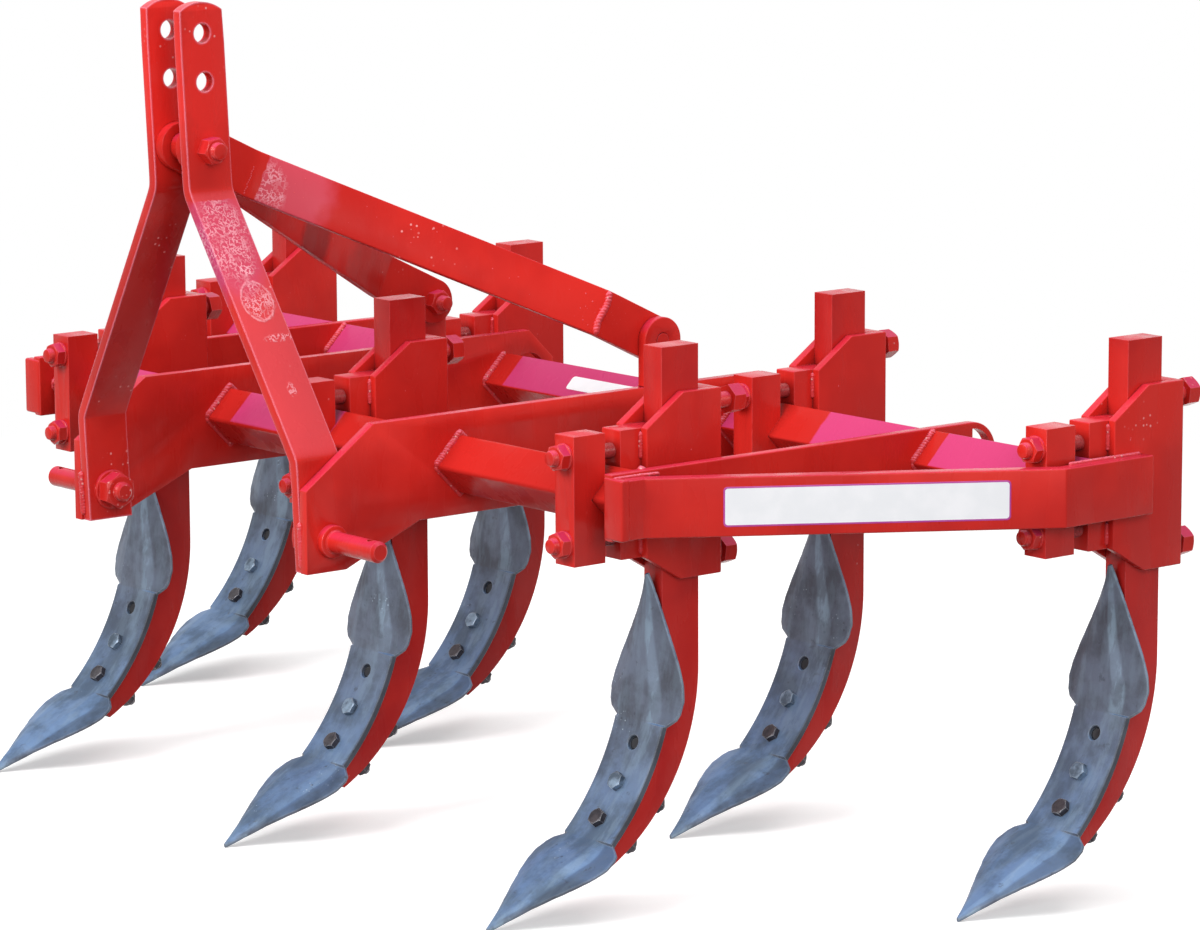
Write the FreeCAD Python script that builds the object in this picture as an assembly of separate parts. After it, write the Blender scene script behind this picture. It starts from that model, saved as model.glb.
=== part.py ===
import FreeCAD, Part
import math
import os

V = FreeCAD.Vector

# All sizes in millimetres. X points the way the machine is pulled, Y to its left, Z up.
# Working frame: x = 0 is the front face of the front-row shanks, z = 0 the ground.

# rows of tines
tine_spacing = 450.0      # lateral pitch of the three front tines
rear_inner_y = 277.0      # inner pair of rear tines
rear_outer_y = 721.0      # outer pair of rear tines
row_pitch = 384.0         # front row to rear row

# toolbars, square tube standing on its corner
tube_side = 45.0
rear_tube_wall = 4.0      # the front bar, which carries the hitch, is solid
tube_z = 423.0            # tube centre above the ground
tube_stand = 28.2         # tube's rear corner ahead of its row of shanks

# shank
shank_wide = 28.0
shank_deep = 48.0
shank_above = 143.5       # shank top above the tube centre
arc_radius = 270.0        # front face of the curved part
rear_radius = 220.0       # rear face of the curved part, smaller, so the shank tapers
rear_drop = 25.0          # rear curve starts this much below the front one

# shovel
shovel_half = 221.0       # centre hole to either point, along the curve
shovel_thick = 8.0
shovel_wing = 56.5        # half width over the wings
shovel_waist = 37.2       # half width of the middle
hole_pitch = 44.0
shank_past = 31.0         # shank beyond its lower shovel bolt, along the curve
hole_r = 7.5
seat_gap = 0.2            # shovel to shank
bolt_angle = 31.4         # upper bolt, degrees round the curve
bolt_r = 5.0
bolt_af = 17.0
bolt_gap = 0.25           # bolt to its hole in the shank
nut_gap = 0.5             # nut to the sloping rear face of the shank

# clamp
block_wide = 30.0
block_deep = 40.0
block_gap = 14.0          # rear face of the front block ahead of the tube centre
bracket_gap = 6.0         # front face of the bracket behind the tube centre
cheek_thick = 10.0
cheek_front = 28.0
cheek_slope = 48.0        # how far the front edge runs back, above and below
cheek_taper = 45.0
spacer_deep = 20.0        # block behind the shank
cheek_top = 98.0          # above the tube centre
cheek_bottom = 92.0       # below the tube centre
side_gap = 0.3            # shank to cheek
rear_gap = 2.0            # shank to rear spacer, taken up by the set screws
stud_r = 8.0
stud_gap = 0.5
stud_clear = 4.2          # tube corner to stud
stud_edge = 21.5          # stud centre to the top of the block
stud_tail = 20.0          # stud end ahead of the front block
nut_af = 24.0
nut_thick = 13.0
screw_high = 80.0         # upper set screw above the tube centre
screw_low = 74.0          # lower set screw below the tube centre
screw_neck = 13.0
screw_head = 16.0
screw_af = 27.0

# fore-aft plates
hitch_plate_y = 205.0     # middle of the hitch plates
hitch_plate_thick = 12.0
hitch_rim = 21.7          # plate above the tube's top corner
nose_front = 256.0
nose_drop = 93.0          # bottom of the nose below the tube centre
nose_step = 7.0           # top corner of the nose below the tube centre
nose_slope = 86.0         # distances behind the nose's front edge
nose_under = 144.0
nose_flat = 50.0
plate_corner = 34.0
side_plate_out = 54.0     # inner face beyond the outer front tine
side_plate_thick = 12.0
side_rim = 1.8            # plate above the tube's top corner
side_lead = 16.2          # plate end ahead of the tube's front corner
hook_r = 28.0             # round hole behind the rear tube, in the hitch plates
hook_shift = 1.2          # its centre behind the tube's rear corner
hook_wall = 9.0
eye_shift = 22.7          # the side plates' half-round eye behind the tube's rear corner
eye_r = 27.0

# diagonal side bars
bar_thick = 16.0
bar_drop = 31.0           # lower edge below the tube centre
bar_high = 60.0
bar_flat = 33.0           # length lying on the side plate
bar_clear = 8.0           # rear bend behind the front face of the outer rear clamp block
bar_tail = 118.0          # length lying on the outer rear clamp

# mast
strap_thick = 12.0
strap_wide = 54.0
ear_gap = 48.0            # clear width between the ears
low_bend_rise = 23.0      # heights on the mast, all above the tube centre
high_bend_rise = 283.0
cross_rise = 324.0
link_low_rise = 394.0
link_high_rise = 444.0
mast_rise = 476.0
mast_foot_x = 226.0
mast_lean = 0.047         # forward travel per unit height
link_r = 10.0
cross_r = 9.0
bush_r = 15.0
cross_gap = 0.25
cross_af = 27.0
cross_nut = 15.0

# braces, and the lugs standing on the hitch plates that they end at
brace_thick = 12.0
brace_wide = 50.0
brace_bend_high = 68.0    # upper bend from the mast's cross bolt
brace_bend_low = 80.0     # lower bend from the lug bolt
lug_x = 109.0             # lug centre ahead of the rear tube centre
lug_rise = 101.5          # lug bolt above the tube centre
lug_wide = 50.0
lug_bolt_r = 8.0
lug_gap = 0.25

# lower hitch pins
pin_drop = 61.0           # pin below the tube centre
pin_r = 11.0
pin_out = 84.0            # length outside the plate
pin_stud_r = 10.0
pin_gap = 0.25
pin_collar_r = 17.0
pin_collar = 8.0
pin_nut_af = 34.0
pin_nut = 16.0
pin_washer_r = 21.0
pin_washer = 4.0
cotter_r = 4.5
cotter_back = 15.0

tube_half = tube_side / math.sqrt(2.0)
arc_z = (arc_radius - 1.0) * math.sin(math.radians(bolt_angle) + shovel_half / arc_radius)
tube_x = tube_stand + tube_half
rear_tube_x = tube_x - row_pitch
block_front = tube_x + block_gap + block_deep
bracket_front = tube_x - bracket_gap
cheek_rear = shank_deep + rear_gap + spacer_deep
stud_rise = tube_half + stud_clear + stud_r
stud_end = block_front + stud_tail
clamp_half_high = stud_rise + stud_edge
hitch_half_high = tube_half + hitch_rim
side_half_high = tube_half + side_rim
side_front = tube_x + tube_half + side_lead
hook_back = tube_half + hook_shift
eye_x = rear_tube_x - tube_half - eye_shift
nose_bottom = tube_z - nose_drop
bar_low = tube_z - bar_drop
strap_bend_low = tube_z + low_bend_rise
strap_bend_high = tube_z + high_bend_rise
cross_z = tube_z + cross_rise
link_low = tube_z + link_low_rise
link_high = tube_z + link_high_rise
mast_top = tube_z + mast_rise
lug_z = tube_z + lug_rise
lug_mid = rear_tube_x + lug_x
pin_z = tube_z - pin_drop
hitch_in = hitch_plate_y - hitch_plate_thick / 2.0
hitch_out = hitch_plate_y + hitch_plate_thick / 2.0
side_in = tine_spacing + side_plate_out
side_out = side_in + side_plate_thick
cheek_out = shank_wide / 2.0 + side_gap + cheek_thick
ear_in = ear_gap / 2.0
front_tines = [("f1", -tine_spacing), ("f2", 0.0), ("f3", tine_spacing)]
rear_tines = [("r1", -rear_outer_y), ("r2", -rear_inner_y), ("r3", rear_inner_y),
              ("r4", rear_outer_y)]

pieces = {}


def box(x0, x1, y0, y1, z0, z1):
    return Part.makeBox(x1 - x0, y1 - y0, z1 - z0, V(x0, y0, z0))


def rod(r, start, way, length):
    return Part.makeCylinder(r, length, start, way)


def prism_y(points, y0, y1):
    """Polygon of (x, z) points between two y planes."""
    wire = Part.makePolygon([V(x, y0, z) for x, z in points] + [V(points[0][0], y0, points[0][1])])
    return Part.Face(wire).extrude(V(0, y1 - y0, 0))


def prism_x(points, x0, x1):
    """Polygon of (y, z) points between two x planes."""
    wire = Part.makePolygon([V(x0, y, z) for y, z in points] + [V(x0, points[0][0], points[0][1])])
    return Part.Face(wire).extrude(V(x1 - x0, 0, 0))


def prism_z(points, z0, z1):
    """Polygon of (x, y) points between two heights."""
    wire = Part.makePolygon([V(x, y, z0) for x, y in points] + [V(points[0][0], points[0][1], z0)])
    return Part.Face(wire).extrude(V(0, 0, z1 - z0))


def hexagon(af, start, way, length):
    """Hexagonal prism of width af across its flats."""
    radius = af / math.sqrt(3.0)
    points = []
    for i in range(7):
        a = math.radians(60.0 * i + 30.0)
        points.append(V(radius * math.cos(a), radius * math.sin(a), 0))
    solid = Part.Face(Part.makePolygon(points)).extrude(V(0, 0, length))
    solid.Placement = FreeCAD.Placement(start, FreeCAD.Rotation(V(0, 0, 1), way))
    return solid


def strip(face, thick):
    """Closed outline of a bent strip: one face as points, the other offset to the left."""
    other = []
    for i, (a, b) in enumerate(face):
        normals = []
        if i > 0:
            normals.append(left_of(face[i - 1], face[i]))
        if i < len(face) - 1:
            normals.append(left_of(face[i], face[i + 1]))
        na = sum(n[0] for n in normals)
        nb = sum(n[1] for n in normals)
        scale = thick * len(normals) / (na * na + nb * nb)
        other.append((a + na * scale, b + nb * scale))
    return list(face) + other[::-1]


def left_of(p, q):
    a = q[0] - p[0]
    b = q[1] - p[1]
    size = math.hypot(a, b)
    return (-b / size, a / size)


def diamond(x, grow=0.0):
    """Corners of the square tube standing on its corner at x."""
    h = tube_half + grow
    return [(x + h, tube_z), (x, tube_z + h), (x - h, tube_z), (x, tube_z - h)]


def front_bar():
    return prism_y(diamond(tube_x), -side_out, side_out)


def rear_tube():
    half = rear_outer_y + cheek_out
    bore = -rear_tube_wall * math.sqrt(2.0)
    outer = prism_y(diamond(rear_tube_x), -half, half)
    return outer.cut(prism_y(diamond(rear_tube_x, bore), -half, half))


def mirror(shape):
    return shape.mirror(V(0, 0, 0), V(0, 1, 0))


def on_arc(xi, rho, y):
    """Point at arc length xi below the upper bolt and radius rho, on the shank's curve."""
    a = math.radians(bolt_angle) + xi / arc_radius
    return V(arc_radius - rho * math.cos(a), y, arc_z - rho * math.sin(a))


def outward(xi):
    """Direction from the shank's front face towards the curve's centre."""
    a = math.radians(bolt_angle) + xi / arc_radius
    return V(math.cos(a), 0, math.sin(a))


def shank():
    top = tube_z + shank_above
    end = hole_pitch + shank_past
    rear_x = rear_radius - shank_deep
    rear_z = arc_z - rear_drop
    low_front = on_arc(end, arc_radius, 0)
    mid_front = on_arc(end / 2.0 - 75.0, arc_radius, 0)
    way = outward(end)
    # where the line through low_front along way meets the rear circle
    dx = low_front.x - rear_x
    dz = low_front.z - rear_z
    half_b = -(dx * way.x + dz * way.z)
    t = half_b - math.sqrt(half_b ** 2 - (dx * dx + dz * dz - rear_radius ** 2))
    low_rear = V(low_front.x + t * way.x, 0, low_front.z + t * way.z)
    a_end = math.atan2(rear_z - low_rear.z, rear_x - low_rear.x)
    mid_rear = V(rear_x - rear_radius * math.cos(a_end / 2.0), 0,
                 rear_z - rear_radius * math.sin(a_end / 2.0))
    edges = [
        Part.makeLine(V(-shank_deep, 0, top), V(0, 0, top)),
        Part.makeLine(V(0, 0, top), V(0, 0, arc_z)),
        Part.Arc(V(0, 0, arc_z), mid_front, low_front).toShape(),
        Part.makeLine(low_front, low_rear),
        Part.Arc(low_rear, mid_rear, V(-shank_deep, 0, rear_z)).toShape(),
        Part.makeLine(V(-shank_deep, 0, rear_z), V(-shank_deep, 0, top)),
    ]
    face = Part.Face(Part.Wire(edges))
    face.translate(V(0, -shank_wide / 2.0, 0))
    solid = face.extrude(V(0, shank_wide, 0))
    for xi in (0.0, hole_pitch):
        start = on_arc(xi, arc_radius + 80.0, 0)
        solid = solid.cut(rod(bolt_r + bolt_gap, start, outward(xi), 90.0))
    return solid


# stations along half a shovel: distance from the middle as a share of the half length, half
# width as a share of waist (w) or wing (g), half width of the flat panel as a share of the half
# width, edge set back, edge thickness, then how far the blade stands off the tine's curve
# towards its centre on the lower half and on the upper half
shovel_stations = [
    (0.00, "w", 1.00, 0.94, 0.8, 6.4, 0.0, 0.0),
    (0.15, "w", 1.00, 0.94, 0.8, 6.4, 0.0, 0.0),
    (0.29, "w", 1.00, 0.94, 0.8, 6.4, 0.0, 0.0),
    (0.325, "w", 1.02, 0.92, 1.0, 6.0, 0.2, 0.0),
    (0.345, "g", 0.80, 0.77, 2.4, 5.0, 0.8, 0.2),
    (0.375, "g", 0.92, 0.65, 3.6, 4.2, 2.4, 0.6),
    (0.44, "g", 1.00, 0.53, 4.6, 3.8, 5.6, 1.2),
    (0.51, "g", 0.94, 0.49, 5.0, 3.6, 8.4, 1.8),
    (0.60, "g", 0.79, 0.47, 5.0, 3.5, 10.4, 2.0),
    (0.70, "g", 0.59, 0.46, 4.6, 3.4, 10.8, 1.4),
    (0.80, "g", 0.39, 0.45, 4.0, 3.4, 9.0, -0.6),
    (0.91, "g", 0.18, 0.45, 3.2, 3.2, 3.6, -4.0),
    (1.00, "g", 0.03, 0.45, 1.5, 3.0, -3.0, -8.0),
]


def shovel_section(share, kind, width, panel, back, edge, lift):
    half = width * (shovel_waist if kind == "w" else shovel_wing)
    front = arc_radius - shovel_thick - seat_gap - lift
    thin = max(0.0, abs(share) - 0.6) / 0.4
    rear = front + shovel_thick - (shovel_thick - back - edge) * thin
    flat = half * panel
    rho = [(flat, front), (half, front + back), (half, front + back + edge), (flat, rear),
           (-flat, rear), (-half, front + back + edge), (-half, front + back), (-flat, front)]
    points = [on_arc(share * shovel_half, r, y) for y, r in rho]
    return Part.makePolygon(points + [points[0]])


def shovel():
    wires = []
    for share, kind, width, panel, back, edge, low, high in shovel_stations[::-1]:
        wires.append(shovel_section(-share, kind, width, panel, back, edge, high))
    for share, kind, width, panel, back, edge, low, high in shovel_stations[1:]:
        wires.append(shovel_section(share, kind, width, panel, back, edge, low))
    solid = Part.makeLoft(wires, True, True)
    for xi in (-hole_pitch, 0.0, hole_pitch):
        solid = solid.cut(rod(hole_r, on_arc(xi, arc_radius + 20.0, 0), outward(xi), 60.0))
    return solid


def shovel_bolts():
    bolts = []
    for xi in (0.0, hole_pitch):
        way = outward(xi)
        front = on_arc(xi, arc_radius - shovel_thick - seat_gap, 0)
        a = math.radians(bolt_angle) + xi / arc_radius
        # depth of the shank at this angle, from the two circles
        dx = on_arc(xi, arc_radius, 0).x - (rear_radius - shank_deep)
        dz = on_arc(xi, arc_radius, 0).z - (arc_z - rear_drop)
        b = dx * math.cos(a) + dz * math.sin(a)
        depth = b + math.sqrt(b * b - (dx * dx + dz * dz - rear_radius ** 2))
        bolts.append((front, way, depth))
    solids = []
    for front, way, depth in bolts:
        length = shovel_thick + seat_gap + depth + nut_gap
        back = front - way * length
        bolt = hexagon(bolt_af, front, way, 7.0)
        bolt = bolt.fuse(rod(bolt_r, back - way * 14.0, way, length + 16.0))
        bolt = bolt.fuse(hexagon(bolt_af, back - way * 9.0, way, 9.0))
        solids.append(bolt.removeSplitter())
    return Part.makeCompound(solids)


def front_block():
    low = tube_z - clamp_half_high
    high = tube_z + clamp_half_high
    half = block_wide / 2.0
    solid = box(block_front - block_deep, block_front, -half, half, low, high)
    solid = solid.cut(prism_y(diamond(tube_x), -half, half))
    for rise in (-stud_rise, stud_rise):
        start = V(block_front - block_deep - 1.0, 0, tube_z + rise)
        solid = solid.cut(rod(stud_r + stud_gap, start, V(1, 0, 0), block_deep + 2.0))
    return solid


def bracket():
    inner = shank_wide / 2.0 + side_gap
    low = tube_z - clamp_half_high
    high = tube_z + clamp_half_high
    solid = box(0.0, bracket_front, -inner, inner, low, high)
    top = tube_z + cheek_top
    bottom = tube_z - cheek_bottom
    outline = [(cheek_front, low), (cheek_front, high), (cheek_front - cheek_slope, top),
               (-cheek_rear, top), (-cheek_rear, bottom), (cheek_front - cheek_taper, bottom)]
    solid = solid.fuse(prism_y(outline, inner, inner + cheek_thick))
    solid = solid.fuse(prism_y(outline, -inner - cheek_thick, -inner))
    solid = solid.fuse(box(-cheek_rear, -shank_deep - rear_gap, -inner, inner, bottom, top))
    solid = solid.removeSplitter()
    solid = solid.cut(prism_y(diamond(tube_x), -inner - 1.0, inner + 1.0))
    for rise in (-stud_rise, stud_rise):
        start = V(8.0, 0, tube_z + rise)
        solid = solid.cut(rod(stud_r + stud_gap, start, V(1, 0, 0), bracket_front))
    for rise in (-screw_low, screw_high):
        start = V(-cheek_rear - 1.0, 0, tube_z + rise)
        solid = solid.cut(rod(stud_r + stud_gap, start, V(1, 0, 0), cheek_rear - shank_deep))
    return solid


def clamp_bolts(slack_high, slack_low):
    """Two studs with front nuts and two set screws; slack is how far a screw stands out."""
    solids = []
    for rise in (-stud_rise, stud_rise):
        start = V(8.0, 0, tube_z + rise)
        stud = rod(stud_r, start, V(1, 0, 0), stud_end - 8.0)
        nut = hexagon(nut_af, V(block_front, 0, tube_z + rise), V(1, 0, 0), nut_thick)
        solids.append(stud.fuse(nut).removeSplitter())
    for rise, slack in ((-screw_low, slack_low), (screw_high, slack_high)):
        tip = V(-shank_deep, 0, tube_z + rise)
        neck = cheek_rear - shank_deep + screw_neck + slack
        screw = rod(stud_r, tip, V(-1, 0, 0), neck)
        head = hexagon(screw_af, tip - V(neck, 0, 0), V(-1, 0, 0), screw_head)
        solids.append(screw.fuse(head).removeSplitter())
    return Part.makeCompound(solids)


def side_plate():
    """Round-ended plate with a half-round eye behind the rear tube."""
    y0 = side_in
    y1 = side_out
    solid = box(eye_x, side_front, y0, y1, tube_z - side_half_high, tube_z + side_half_high)
    solid = solid.fuse(rod(side_half_high, V(eye_x, y0, tube_z), V(0, 1, 0), y1 - y0))
    solid = solid.removeSplitter()
    for x in (tube_x, rear_tube_x):
        solid = solid.cut(prism_y(diamond(x), y0 - 1.0, y1 + 1.0))
    eye = rod(eye_r, V(eye_x, y0 - 1.0, tube_z), V(0, 1, 0), y1 - y0 + 2.0)
    behind = box(eye_x - eye_r - 1.0, eye_x, y0 - 1.0, y1 + 1.0, tube_z - eye_r, tube_z + eye_r)
    return solid.cut(eye.common(behind))


def hitch_plate():
    y0 = hitch_in
    y1 = hitch_out
    top = tube_z + hitch_half_high
    low = tube_z - hitch_half_high
    back = rear_tube_x - hook_back - hook_r - hook_wall
    corner = plate_corner
    outline = [(nose_front, nose_bottom), (nose_front, tube_z - nose_step),
               (nose_front - nose_slope, top),
               (back + corner, top), (back, top - corner), (back, low + corner),
               (back + corner, low), (nose_front - nose_under, low),
               (nose_front - nose_flat, nose_bottom)]
    solid = prism_y(outline, y0, y1)
    for x in (tube_x, rear_tube_x):
        solid = solid.cut(prism_y(diamond(x), y0 - 1.0, y1 + 1.0))
    start = V(rear_tube_x - hook_back, y0 - 1.0, tube_z)
    solid = solid.cut(rod(hook_r, start, V(0, 1, 0), y1 - y0 + 2.0))
    start = V(mast_foot_x, y0 - 1.0, pin_z)
    return solid.cut(rod(pin_stud_r + pin_gap, start, V(0, 1, 0), y1 - y0 + 2.0))


def side_bar():
    outer_clamp = rear_outer_y + cheek_out
    tail_x = block_front - row_pitch - bar_clear
    face = [(side_front, side_out), (side_front - bar_flat, side_out), (tail_x, outer_clamp),
            (tail_x - bar_tail, outer_clamp)]
    # the face list runs rearwards, so its left is the inner side; offset the other way
    outline = strip(face[::-1], bar_thick)
    return prism_z(outline, bar_low, bar_low + bar_high)


def mast_x(z):
    return mast_foot_x + (z - nose_bottom) * mast_lean


def mast_strap():
    outer = [(hitch_in, nose_bottom), (hitch_in, strap_bend_low),
             (ear_in + strap_thick, strap_bend_high), (ear_in + strap_thick, mast_top)]
    bent = prism_x(strip(outer, strap_thick), mast_foot_x - 80.0, mast_foot_x + 120.0)
    half = strap_wide / 2.0
    crown = mast_top - half
    side = prism_y([(mast_x(nose_bottom) - half, nose_bottom), (mast_x(nose_bottom) + half,
                   nose_bottom), (mast_x(crown) + half, crown), (mast_x(crown) - half, crown)],
                   0.0, hitch_out)
    side = side.fuse(rod(half, V(mast_x(crown), 0, crown), V(0, 1, 0), hitch_out))
    solid = bent.common(side)
    for z, r in ((link_high, link_r), (link_low, link_r), (cross_z, cross_r + cross_gap)):
        solid = solid.cut(rod(r, V(mast_x(z), 0, z), V(0, 1, 0), 60.0))
    start = V(mast_foot_x, hitch_in - strap_thick - 1.0, pin_z)
    return solid.cut(rod(pin_stud_r + pin_gap, start, V(0, 1, 0), strap_thick + 2.0))


def brace():
    """Flat strap from inside the mast ear to inside its lug, bent twice across its length."""
    high = V(mast_x(cross_z), 0, cross_z)
    low = V(lug_mid, 0, lug_z)
    length = (low - high).Length
    way = (low - high) / length
    up = V(-way.z, 0, way.x)
    half = brace_wide / 2.0
    outer = [(-half - 5.0, ear_in), (brace_bend_high, ear_in), (length - brace_bend_low, hitch_in),
             (length + half + 5.0, hitch_in)]
    points = [high + way * s - up * (half + 5.0) + V(0, y, 0)
              for s, y in strip(outer[::-1], brace_thick)]
    bent = Part.Face(Part.makePolygon(points + [points[0]])).extrude(up * (2.0 * half + 10.0))
    corners = [high + up * half, high - up * half, low - up * half, low + up * half]
    side = prism_y([(p.x, p.z) for p in corners], 0.0, hitch_in + 10.0)
    for p in (high, low):
        side = side.fuse(rod(half, p, V(0, 1, 0), hitch_in + 10.0))
    solid = bent.common(side)
    solid = solid.cut(rod(cross_r + cross_gap, high, V(0, 1, 0), 60.0))
    return solid.cut(rod(lug_bolt_r + lug_gap, low + V(0, 60.0, 0), V(0, 1, 0), hitch_out))


def lug():
    """Round-topped plate standing on the top edge of the hitch plate."""
    half = lug_wide / 2.0
    foot = tube_z + hitch_half_high
    solid = box(lug_mid - half, lug_mid + half, hitch_in, hitch_out, foot, lug_z)
    top = rod(half, V(lug_mid, hitch_in, lug_z), V(0, 1, 0), hitch_out - hitch_in)
    solid = solid.fuse(top).removeSplitter()
    start = V(lug_mid, hitch_in - 1.0, lug_z)
    return solid.cut(rod(lug_bolt_r + lug_gap, start, V(0, 1, 0), hitch_out - hitch_in + 2.0))


def lug_bolt():
    """Bolt ending flush with the lug's outer face, its nut inside the brace."""
    inner = hitch_in - brace_thick
    start = inner - nut_thick - 11.0
    bolt = rod(lug_bolt_r, V(lug_mid, start, lug_z), V(0, 1, 0), hitch_out - start)
    nut = hexagon(nut_af, V(lug_mid, inner, lug_z), V(0, -1, 0), nut_thick)
    return bolt.fuse(nut).removeSplitter()


def cross_bolt():
    x = mast_x(cross_z)
    outer = ear_in + strap_thick
    bolt = rod(cross_r, V(x, -outer, cross_z), V(0, 1, 0), 2.0 * outer + cross_nut + 7.0)
    bolt = bolt.fuse(hexagon(cross_af, V(x, -outer, cross_z), V(0, -1, 0), 12.0))
    return bolt.fuse(hexagon(cross_af, V(x, outer, cross_z), V(0, 1, 0), cross_nut)).removeSplitter()


def spacer_bush():
    x = mast_x(cross_z)
    half = ear_in - brace_thick
    tube = rod(bush_r, V(x, -half, cross_z), V(0, 1, 0), 2.0 * half)
    return tube.cut(rod(cross_r + cross_gap, V(x, -half - 1.0, cross_z), V(0, 1, 0), 60.0))


def lower_pin():
    x = mast_foot_x
    inner = hitch_in - strap_thick
    pin = rod(pin_r, V(x, hitch_out, pin_z), V(0, 1, 0), pin_out - 3.0)
    pin = pin.fuse(Part.makeCone(pin_r, pin_r - 3.0, 3.0, V(x, hitch_out + pin_out - 3.0, pin_z),
                                 V(0, 1, 0)))
    pin = pin.fuse(rod(pin_collar_r, V(x, hitch_out, pin_z), V(0, 1, 0), pin_collar))
    pin = pin.fuse(rod(pin_stud_r, V(x, inner - 28.0, pin_z), V(0, 1, 0), 60.0))
    pin = pin.fuse(rod(pin_washer_r, V(x, inner - pin_washer, pin_z), V(0, 1, 0), pin_washer))
    pin = pin.fuse(hexagon(pin_nut_af, V(x, inner - pin_washer, pin_z), V(0, -1, 0), pin_nut))
    pin = pin.removeSplitter()
    start = V(x, hitch_out + pin_out - cotter_back, pin_z - 20.0)
    return pin.cut(rod(cotter_r, start, V(0, 0, 1), 40.0))


def build():
    pieces["front_toolbar"] = front_bar()
    pieces["rear_toolbar"] = rear_tube()
    models = {"shank": shank(), "shovel": shovel(), "shovel_bolts": shovel_bolts(),
              "clamp_block": front_block(), "clamp_bracket": bracket()}
    slacks = {"f2": (3.0, 3.0), "f3": (14.0, 2.0), "r4": (7.0, 1.0)}
    rows = [(0.0, front_tines), (-row_pitch, rear_tines)]
    for x, tines in rows:
        for name, y in tines:
            models["clamp_bolts"] = clamp_bolts(*slacks.get(name, (0.0, 0.0)))
            for kind, model in models.items():
                piece = model.copy()
                piece.translate(V(x, y, 0))
                pieces[kind + "_" + name] = piece
    pairs = {"hitch_plate": hitch_plate(), "side_plate": side_plate(), "side_bar": side_bar(),
             "mast_strap": mast_strap(), "brace": brace(), "brace_lug": lug(),
             "lower_pin": lower_pin()}
    for kind, model in pairs.items():
        pieces[kind + "_left"] = model
        pieces[kind + "_right"] = mirror(model)
    far_bolt = lug_bolt()
    pieces["brace_bolts"] = Part.makeCompound([cross_bolt(), far_bolt, mirror(far_bolt)])
    pieces["mast_spacer_bush"] = spacer_bush()


def overall():
    total = FreeCAD.BoundBox()
    for shape in pieces.values():
        total.add(shape.optimalBoundingBox(False))
    return total


build()
bounds = overall()
shift = V(-bounds.Center.x, -bounds.Center.y, -bounds.ZMin)
os.makedirs("parts", exist_ok=True)
for name, shape in pieces.items():
    shape.translate(shift)
    shape.exportStep("parts/" + name + ".step")
    if not shape.isValid():
        print("not valid:", name)
print("nodes", len(pieces), "shift", round(shift.x, 3), round(shift.y, 3), round(shift.z, 3))
print("size", round(bounds.XLength, 1), round(bounds.YLength, 1), round(bounds.ZLength, 1))
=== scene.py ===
import math
import bpy
import bmesh
import numpy as np
from mathutils import Matrix, Vector


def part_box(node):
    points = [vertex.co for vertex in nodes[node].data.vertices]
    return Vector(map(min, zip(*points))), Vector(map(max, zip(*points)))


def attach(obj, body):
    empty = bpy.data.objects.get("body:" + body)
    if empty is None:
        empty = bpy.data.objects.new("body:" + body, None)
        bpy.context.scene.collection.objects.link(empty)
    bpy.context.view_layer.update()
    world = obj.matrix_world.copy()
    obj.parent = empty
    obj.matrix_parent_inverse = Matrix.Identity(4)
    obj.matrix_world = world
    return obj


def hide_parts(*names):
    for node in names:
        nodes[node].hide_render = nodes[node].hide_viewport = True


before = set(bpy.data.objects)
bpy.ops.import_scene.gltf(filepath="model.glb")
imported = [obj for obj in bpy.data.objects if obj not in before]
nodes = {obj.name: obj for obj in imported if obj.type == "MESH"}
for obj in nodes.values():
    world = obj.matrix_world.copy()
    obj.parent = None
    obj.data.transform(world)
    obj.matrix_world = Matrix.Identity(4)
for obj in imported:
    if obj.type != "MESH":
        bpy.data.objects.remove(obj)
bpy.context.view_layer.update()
print("frame loaded, nodes:", len(nodes))

# places in millimetres: x from the front face of the front shanks, z from the toolbar's centre
layout = {
    "shankDeep": 48.0,
    "tubeRise": 423.0,        # tube centre above the ground
    "rowPitch": 384.0,
    "tines": {"f1": -450.0, "f2": 0.0, "f3": 450.0, "r1": -721.0, "r2": -277.0, "r3": 277.0,
              "r4": 721.0},
    "tubeHalf": 45.0 / math.sqrt(2.0),
    "tubeX": 28.2 + 45.0 / math.sqrt(2.0),
}
tubeLow, tubeHigh = (np.array(c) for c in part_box("front_toolbar"))
origin = np.array([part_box("shank_f2")[0][0] + layout["shankDeep"] / 1000.0, 0.0,
                   (tubeLow[2] + tubeHigh[2]) / 2.0])
rearTubeX = layout["tubeX"] - layout["rowPitch"]
sides = (("left", 1.0), ("right", -1.0))


# Front tines stand at x = 0, rear ones a row pitch behind.
def rowX(tine):
    return 0.0 if tine[0] == "f" else -layout["rowPitch"]


# shader groups
# Adds a shader node; inputs maps a socket to a value or to another node's output.
def addNode(tree, kind, settings=None, inputs=None):
    node = tree.nodes.new("ShaderNode" + kind)
    for key, value in (settings or {}).items():
        setattr(node, key, value)
    for key, value in (inputs or {}).items():
        if isinstance(value, bpy.types.NodeSocket):
            tree.links.new(value, node.inputs[key])
        else:
            node.inputs[key].default_value = value
    return node


# Empty group with named inputs and outputs, each a single number.
def newGroup(name, inputs, outputs):
    tree = bpy.data.node_groups.new(name, "ShaderNodeTree")
    kind = "NodeSocketFloat"
    for label, value in inputs.items():
        socket = tree.interface.new_socket(name=label, in_out="INPUT", socket_type=kind)
        socket.default_value = value
    for label in outputs:
        tree.interface.new_socket(name=label, in_out="OUTPUT", socket_type=kind)
    return tree, tree.nodes.new("NodeGroupInput").outputs, tree.nodes.new("NodeGroupOutput").inputs


def maths(tree, operation, first, second=0.0, clamp=False):
    return addNode(tree, "Math", {"operation": operation, "use_clamp": clamp},
                   {0: first, 1: second}).outputs[0]


def times(tree, first, second, clamp=False):
    return maths(tree, "MULTIPLY", first, second, clamp)


def plus(tree, first, second, clamp=False):
    return maths(tree, "ADD", first, second, clamp)


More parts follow.
